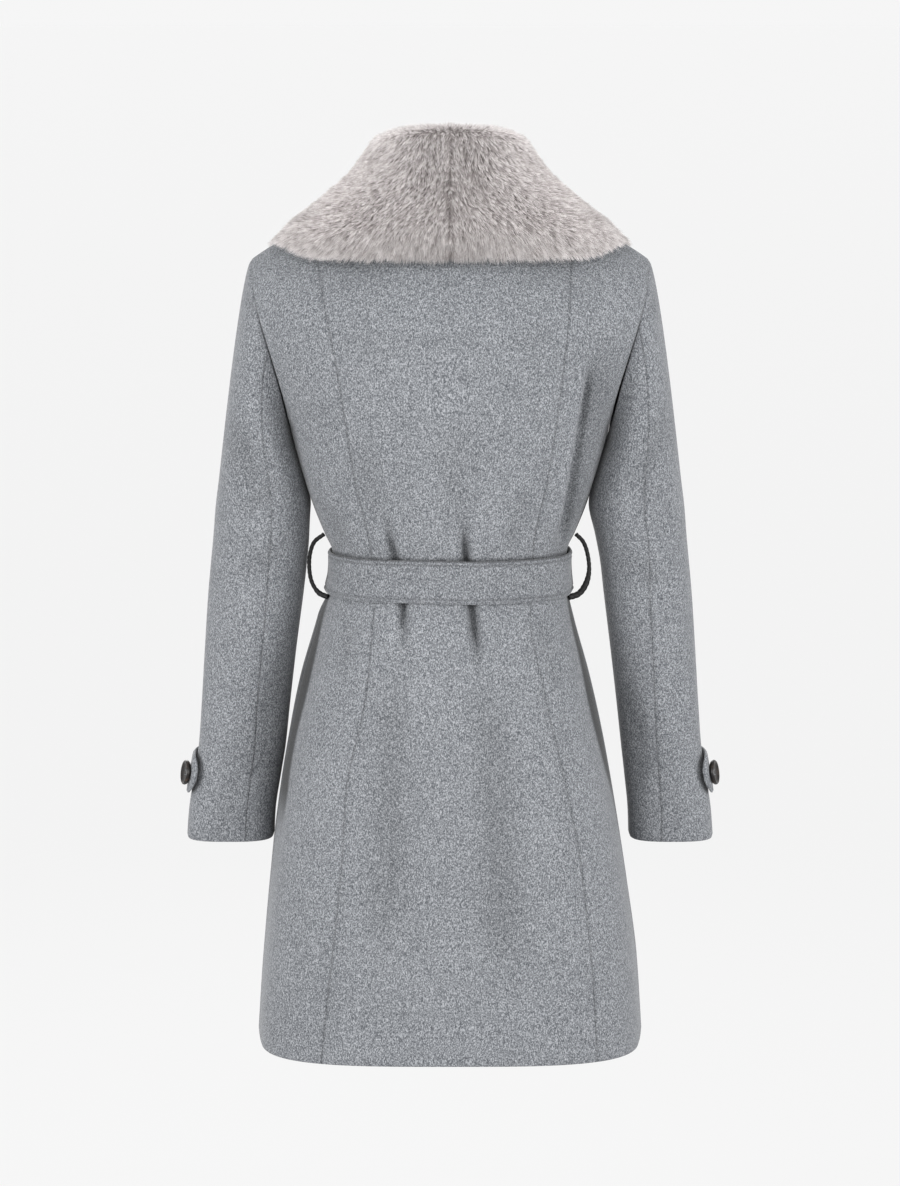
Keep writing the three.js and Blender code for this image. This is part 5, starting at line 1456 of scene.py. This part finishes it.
# Strands on some rows of the skin: their places by chance, more of them near the edge.
def pileStrands(name, surface, rows, count, seed):
    dice = np.random.default_rng(seed)
    first, last = rows
    cut = slice(first, last + 1)
    skin = surface.skin[cut]
    sides = np.linalg.norm(np.cross(skin[1:, 1:] - skin[:-1, :-1], skin[:-1, 1:] - skin[1:, :-1]), axis=-1)
    share = surface.share[cut][:-1, :-1]
    weight = sides * mix(0.35, 1, smoothStep(0.2, 0.42, share)) * mix(1, 1.5, smoothStep(0.9, 0.99, share))
    cells = dice.choice(weight.size, count, p=(weight / weight.sum()).ravel())
    i, j = np.unravel_index(cells, weight.shape)
    a, b = dice.random(count), dice.random(count)

    def readAt(values, i, j, a, b):
        values = values[cut]
        if values.ndim == 3:
            a, b = a[:, None], b[:, None]
        return (values[i, j] * (1 - a) * (1 - b) + values[i + 1, j] * a * (1 - b)
                + values[i, j + 1] * (1 - a) * b + values[i + 1, j + 1] * a * b)

    p, q = readAt(surface.p, i, j, a, b), readAt(surface.q, i, j, a, b)
    # each strand belongs to the nearest of the locks, one in every square of the skin
    size = pile["lock"]
    lastU, lastV = pile["lockGrid"][0] - 1, pile["lockGrid"][1] - 1
    jitter = np.random.default_rng(7).random((*pile["lockGrid"], 2))
    mood = np.random.default_rng(8).normal(size=(*pile["lockGrid"], 4))
    cellP, cellQ = np.floor(p / size).astype(int), np.floor(q / size).astype(int)
    best = np.full(len(p), 1e9)
    lockP, lockQ, lockI, lockJ = (np.zeros(len(p)) for _ in range(4))
    for stepP in (-1, 0, 1):
        for stepQ in (-1, 0, 1):
            u, v = np.clip(cellP + stepP, 0, lastU), np.clip(cellQ + stepQ, 0, lastV)
            seedP = (u + jitter[u, v, 0]) * size
            seedQ = (v + jitter[u, v, 1]) * size
            distance = (seedP - p) ** 2 + ((seedQ - q) * 0.8) ** 2
            closer = distance < best
            best = np.where(closer, distance, best)
            lockP, lockQ = np.where(closer, seedP, lockP), np.where(closer, seedQ, lockQ)
            lockI, lockJ = np.where(closer, u, lockI), np.where(closer, v, lockJ)
    lockMood = mood[lockI.astype(int), lockJ.astype(int)]
    root = readAt(surface.skin, i, j, a, b)
    normal = unit(readAt(surface.normals, i, j, a, b))
    down = unit(readAt(surface.down, i, j, a, b))
    across = unit(readAt(surface.across, i, j, a, b))
    share = readAt(surface.share, i, j, a, b)
    nearEdge = smoothStep(0.84, 0.97, share)
    swirl = 0.35 * np.sin(p * 0.045 + 0.7) * np.cos(q * 0.06)
    belowRoll = smoothStep(0.4, 0.5, share)
    seamWander = np.maximum(0, surface.side * pile["wander"] * np.sin(q * 0.07 + 0.4))
    byMiddle = smoothStep(0, 24, p)
    stray = swirl + 0.16 * lockMood[:, 0] * (1 - 0.6 * nearEdge)
    angle = pile["sweep"] * smoothStep(0, 60, p) + stray * byMiddle
    angle = angle + 0.5 * np.exp(-np.abs(p - seamWander) / 5) * belowRoll
    angle = angle * (1 - 0.55 * nearEdge) + dice.normal(0, 0.12, len(p))
    flow = down * np.cos(angle)[:, None] + across * np.sin(angle)[:, None]
    length = pile["length"] * (1 + 0.05 * lockMood[:, 1] + dice.normal(0, 0.06, len(p)))
    seamShare = np.exp(-((p / 5) ** 2)) * belowRoll
    length = length * mix(1, 0.8, seamShare) * mix(1, 1.6, nearEdge)
    rise = np.clip(0.95 + 0.10 * lockMood[:, 2] + dice.normal(0, 0.12, len(p)) - 0.8 * nearEdge, 0.08, 1.5)
    toLock = across * (lockP - p)[:, None] + down * (lockQ - q)[:, None]
    tip = root + unit(normal * rise[:, None] + flow) * length[:, None] + toLock * pile["gather"]
    along = unit(tip - root)
    sideways = unit(np.cross(along, normal + dice.normal(0, 0.3, normal.shape)))
    upright = np.cross(along, sideways)
    ring = [sideways * math.cos(turn) + upright * math.sin(turn) for turn in np.radians([0, 120, 240])]
    corners = np.stack([root + r * pile["radius"] for r in ring] + [tip], axis=1)
    faces = np.array([[0, 1, 3], [1, 2, 3], [2, 0, 3]])
    nearRoll = np.exp(-(((share - 0.42) / 0.06) ** 2))
    light = 0.12 * lockMood[:, 3] + dice.normal(0, 0.16, len(p))
    # Painted light on the pile: a painted highlight near the roll at the top of the collar, and painted
    # shade towards the wings and along the centre back parting. The pile is also lighter near the edge.
    light = light + pile["edgeTone"] * nearEdge + pile["rollHighlight"] * nearRoll
    light = light + pile["wingShade"] * smoothStep(50, 130, p)
    light = light + pile["partingShade"] * np.exp(-(((p - seamWander) / 1.2) ** 2)) * belowRoll
    tone = np.stack([light + pile["rootTone"]] * 3 + [light + pile["tipTone"]], axis=1)
    points, faces = joinShapes([(corners, faces)])
    piece = makePiece(name, points, faces, furPile, {"tone": np.clip(tone, 0, 1)})
    return piece


def buildCollar(side):
    word = "left" if side == left else "right"
    surface = collarSkin(side)
    points, faces = wallFaces(surface.skin, surface.under)
    tone = np.full(len(points), collar["skinTone"])
    skin = makePiece(f"collar_{word}_skin", points, faces, furPile, {"tone": tone})
    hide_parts("collar_" + word)
    middle, last = collar["backSections"], collar["sections"] - 1
    tufts = [
        pileStrands(f"collar_{word}_pile_back", surface, (0, middle), pile["backCount"], 31 + side),
        pileStrands(f"collar_{word}_pile_front", surface, (middle, last), pile["frontCount"], 41 + side),
    ]
    size, area = flatSize(surface.skin)
    print("collar", word, "flat", size, "area", area)


buildCollar(left)
buildCollar(right)
print("collar made")


# The studio: a pale floor, an even pale surround, a large soft light behind the camera
# and one at each side.
studio = dict(
    target=(0, 0, -0.395), distance=4.0, elevation=8.5, lens=117.9, floorHeight=-1.45,
    surround=0.92, floorColour=0.05, floorGlow=0.83, floorHalf=500, spread=110,
    lights=[
        dict(name="key_left", place=(1.7, 3.8, 1.0), size=2.4, power=32),
        dict(name="key_right", place=(-1.7, 3.8, 0.8), size=2.4, power=32),
        dict(name="side_left", place=(3.1, 1.9, 0.0), size=1.8, power=50),
        dict(name="side_right", place=(-3.1, 1.9, 0.0), size=1.8, power=50),
        dict(name="front_fill", place=(0.8, -3.8, 1.2), size=2.4, power=26),
    ],
)


# Puts a lamp or the camera at a place, facing a target.
def lookAt(thing, place, target):
    thing.location = place
    direction = Vector(target) - Vector(place)
    thing.rotation_euler = direction.to_track_quat("-Z", "Y").to_euler()


def buildStudio():
    elevation = math.radians(studio["elevation"])
    target = Vector(studio["target"])
    camera = bpy.data.objects.new("camera", bpy.data.cameras.new("camera"))
    bpy.context.scene.collection.objects.link(camera)
    camera.data.lens = studio["lens"]
    camera.data.clip_end = 1000
    place = target + studio["distance"] * Vector((0, math.cos(elevation), math.sin(elevation)))
    lookAt(camera, place, target)
    bpy.context.scene.camera = camera
    bpy.context.scene.view_settings.view_transform = "Standard"
    for settings in studio["lights"]:
        light = bpy.data.lights.new(settings["name"], "AREA")
        light.shape, light.size, light.energy = "DISK", settings["size"], settings["power"]
        light.spread = math.radians(studio["spread"])
        lamp = bpy.data.objects.new(settings["name"], light)
        bpy.context.scene.collection.objects.link(lamp)
        lookAt(lamp, settings["place"], studio["target"])
    world = bpy.data.worlds.new("surround")
    world.use_nodes = True
    background = world.node_tree.nodes["Background"]
    background.inputs["Color"].default_value = (studio["surround"],) * 3 + (1,)
    bpy.context.scene.world = world
    material, _, shader, _ = newMaterial("pale_floor", {"Roughness": 0.95, "Specular IOR Level": 0.1})
    shader.inputs["Base Color"].default_value = (studio["floorColour"],) * 3 + (1,)
    shader.inputs["Emission Color"].default_value = (1, 1, 1, 1)
    shader.inputs["Emission Strength"].default_value = studio["floorGlow"]
    mesh = bpy.data.meshes.new("floor")
    half, height = studio["floorHalf"], studio["floorHeight"]
    corners = [(-half, -half, height), (half, -half, height), (half, half, height), (-half, half, height)]
    mesh.from_pydata(corners, [], [(0, 1, 2, 3)])
    mesh.materials.append(material)
    floor = bpy.data.objects.new("floor", mesh)
    bpy.context.scene.collection.objects.link(floor)


buildStudio()
print("studio made")
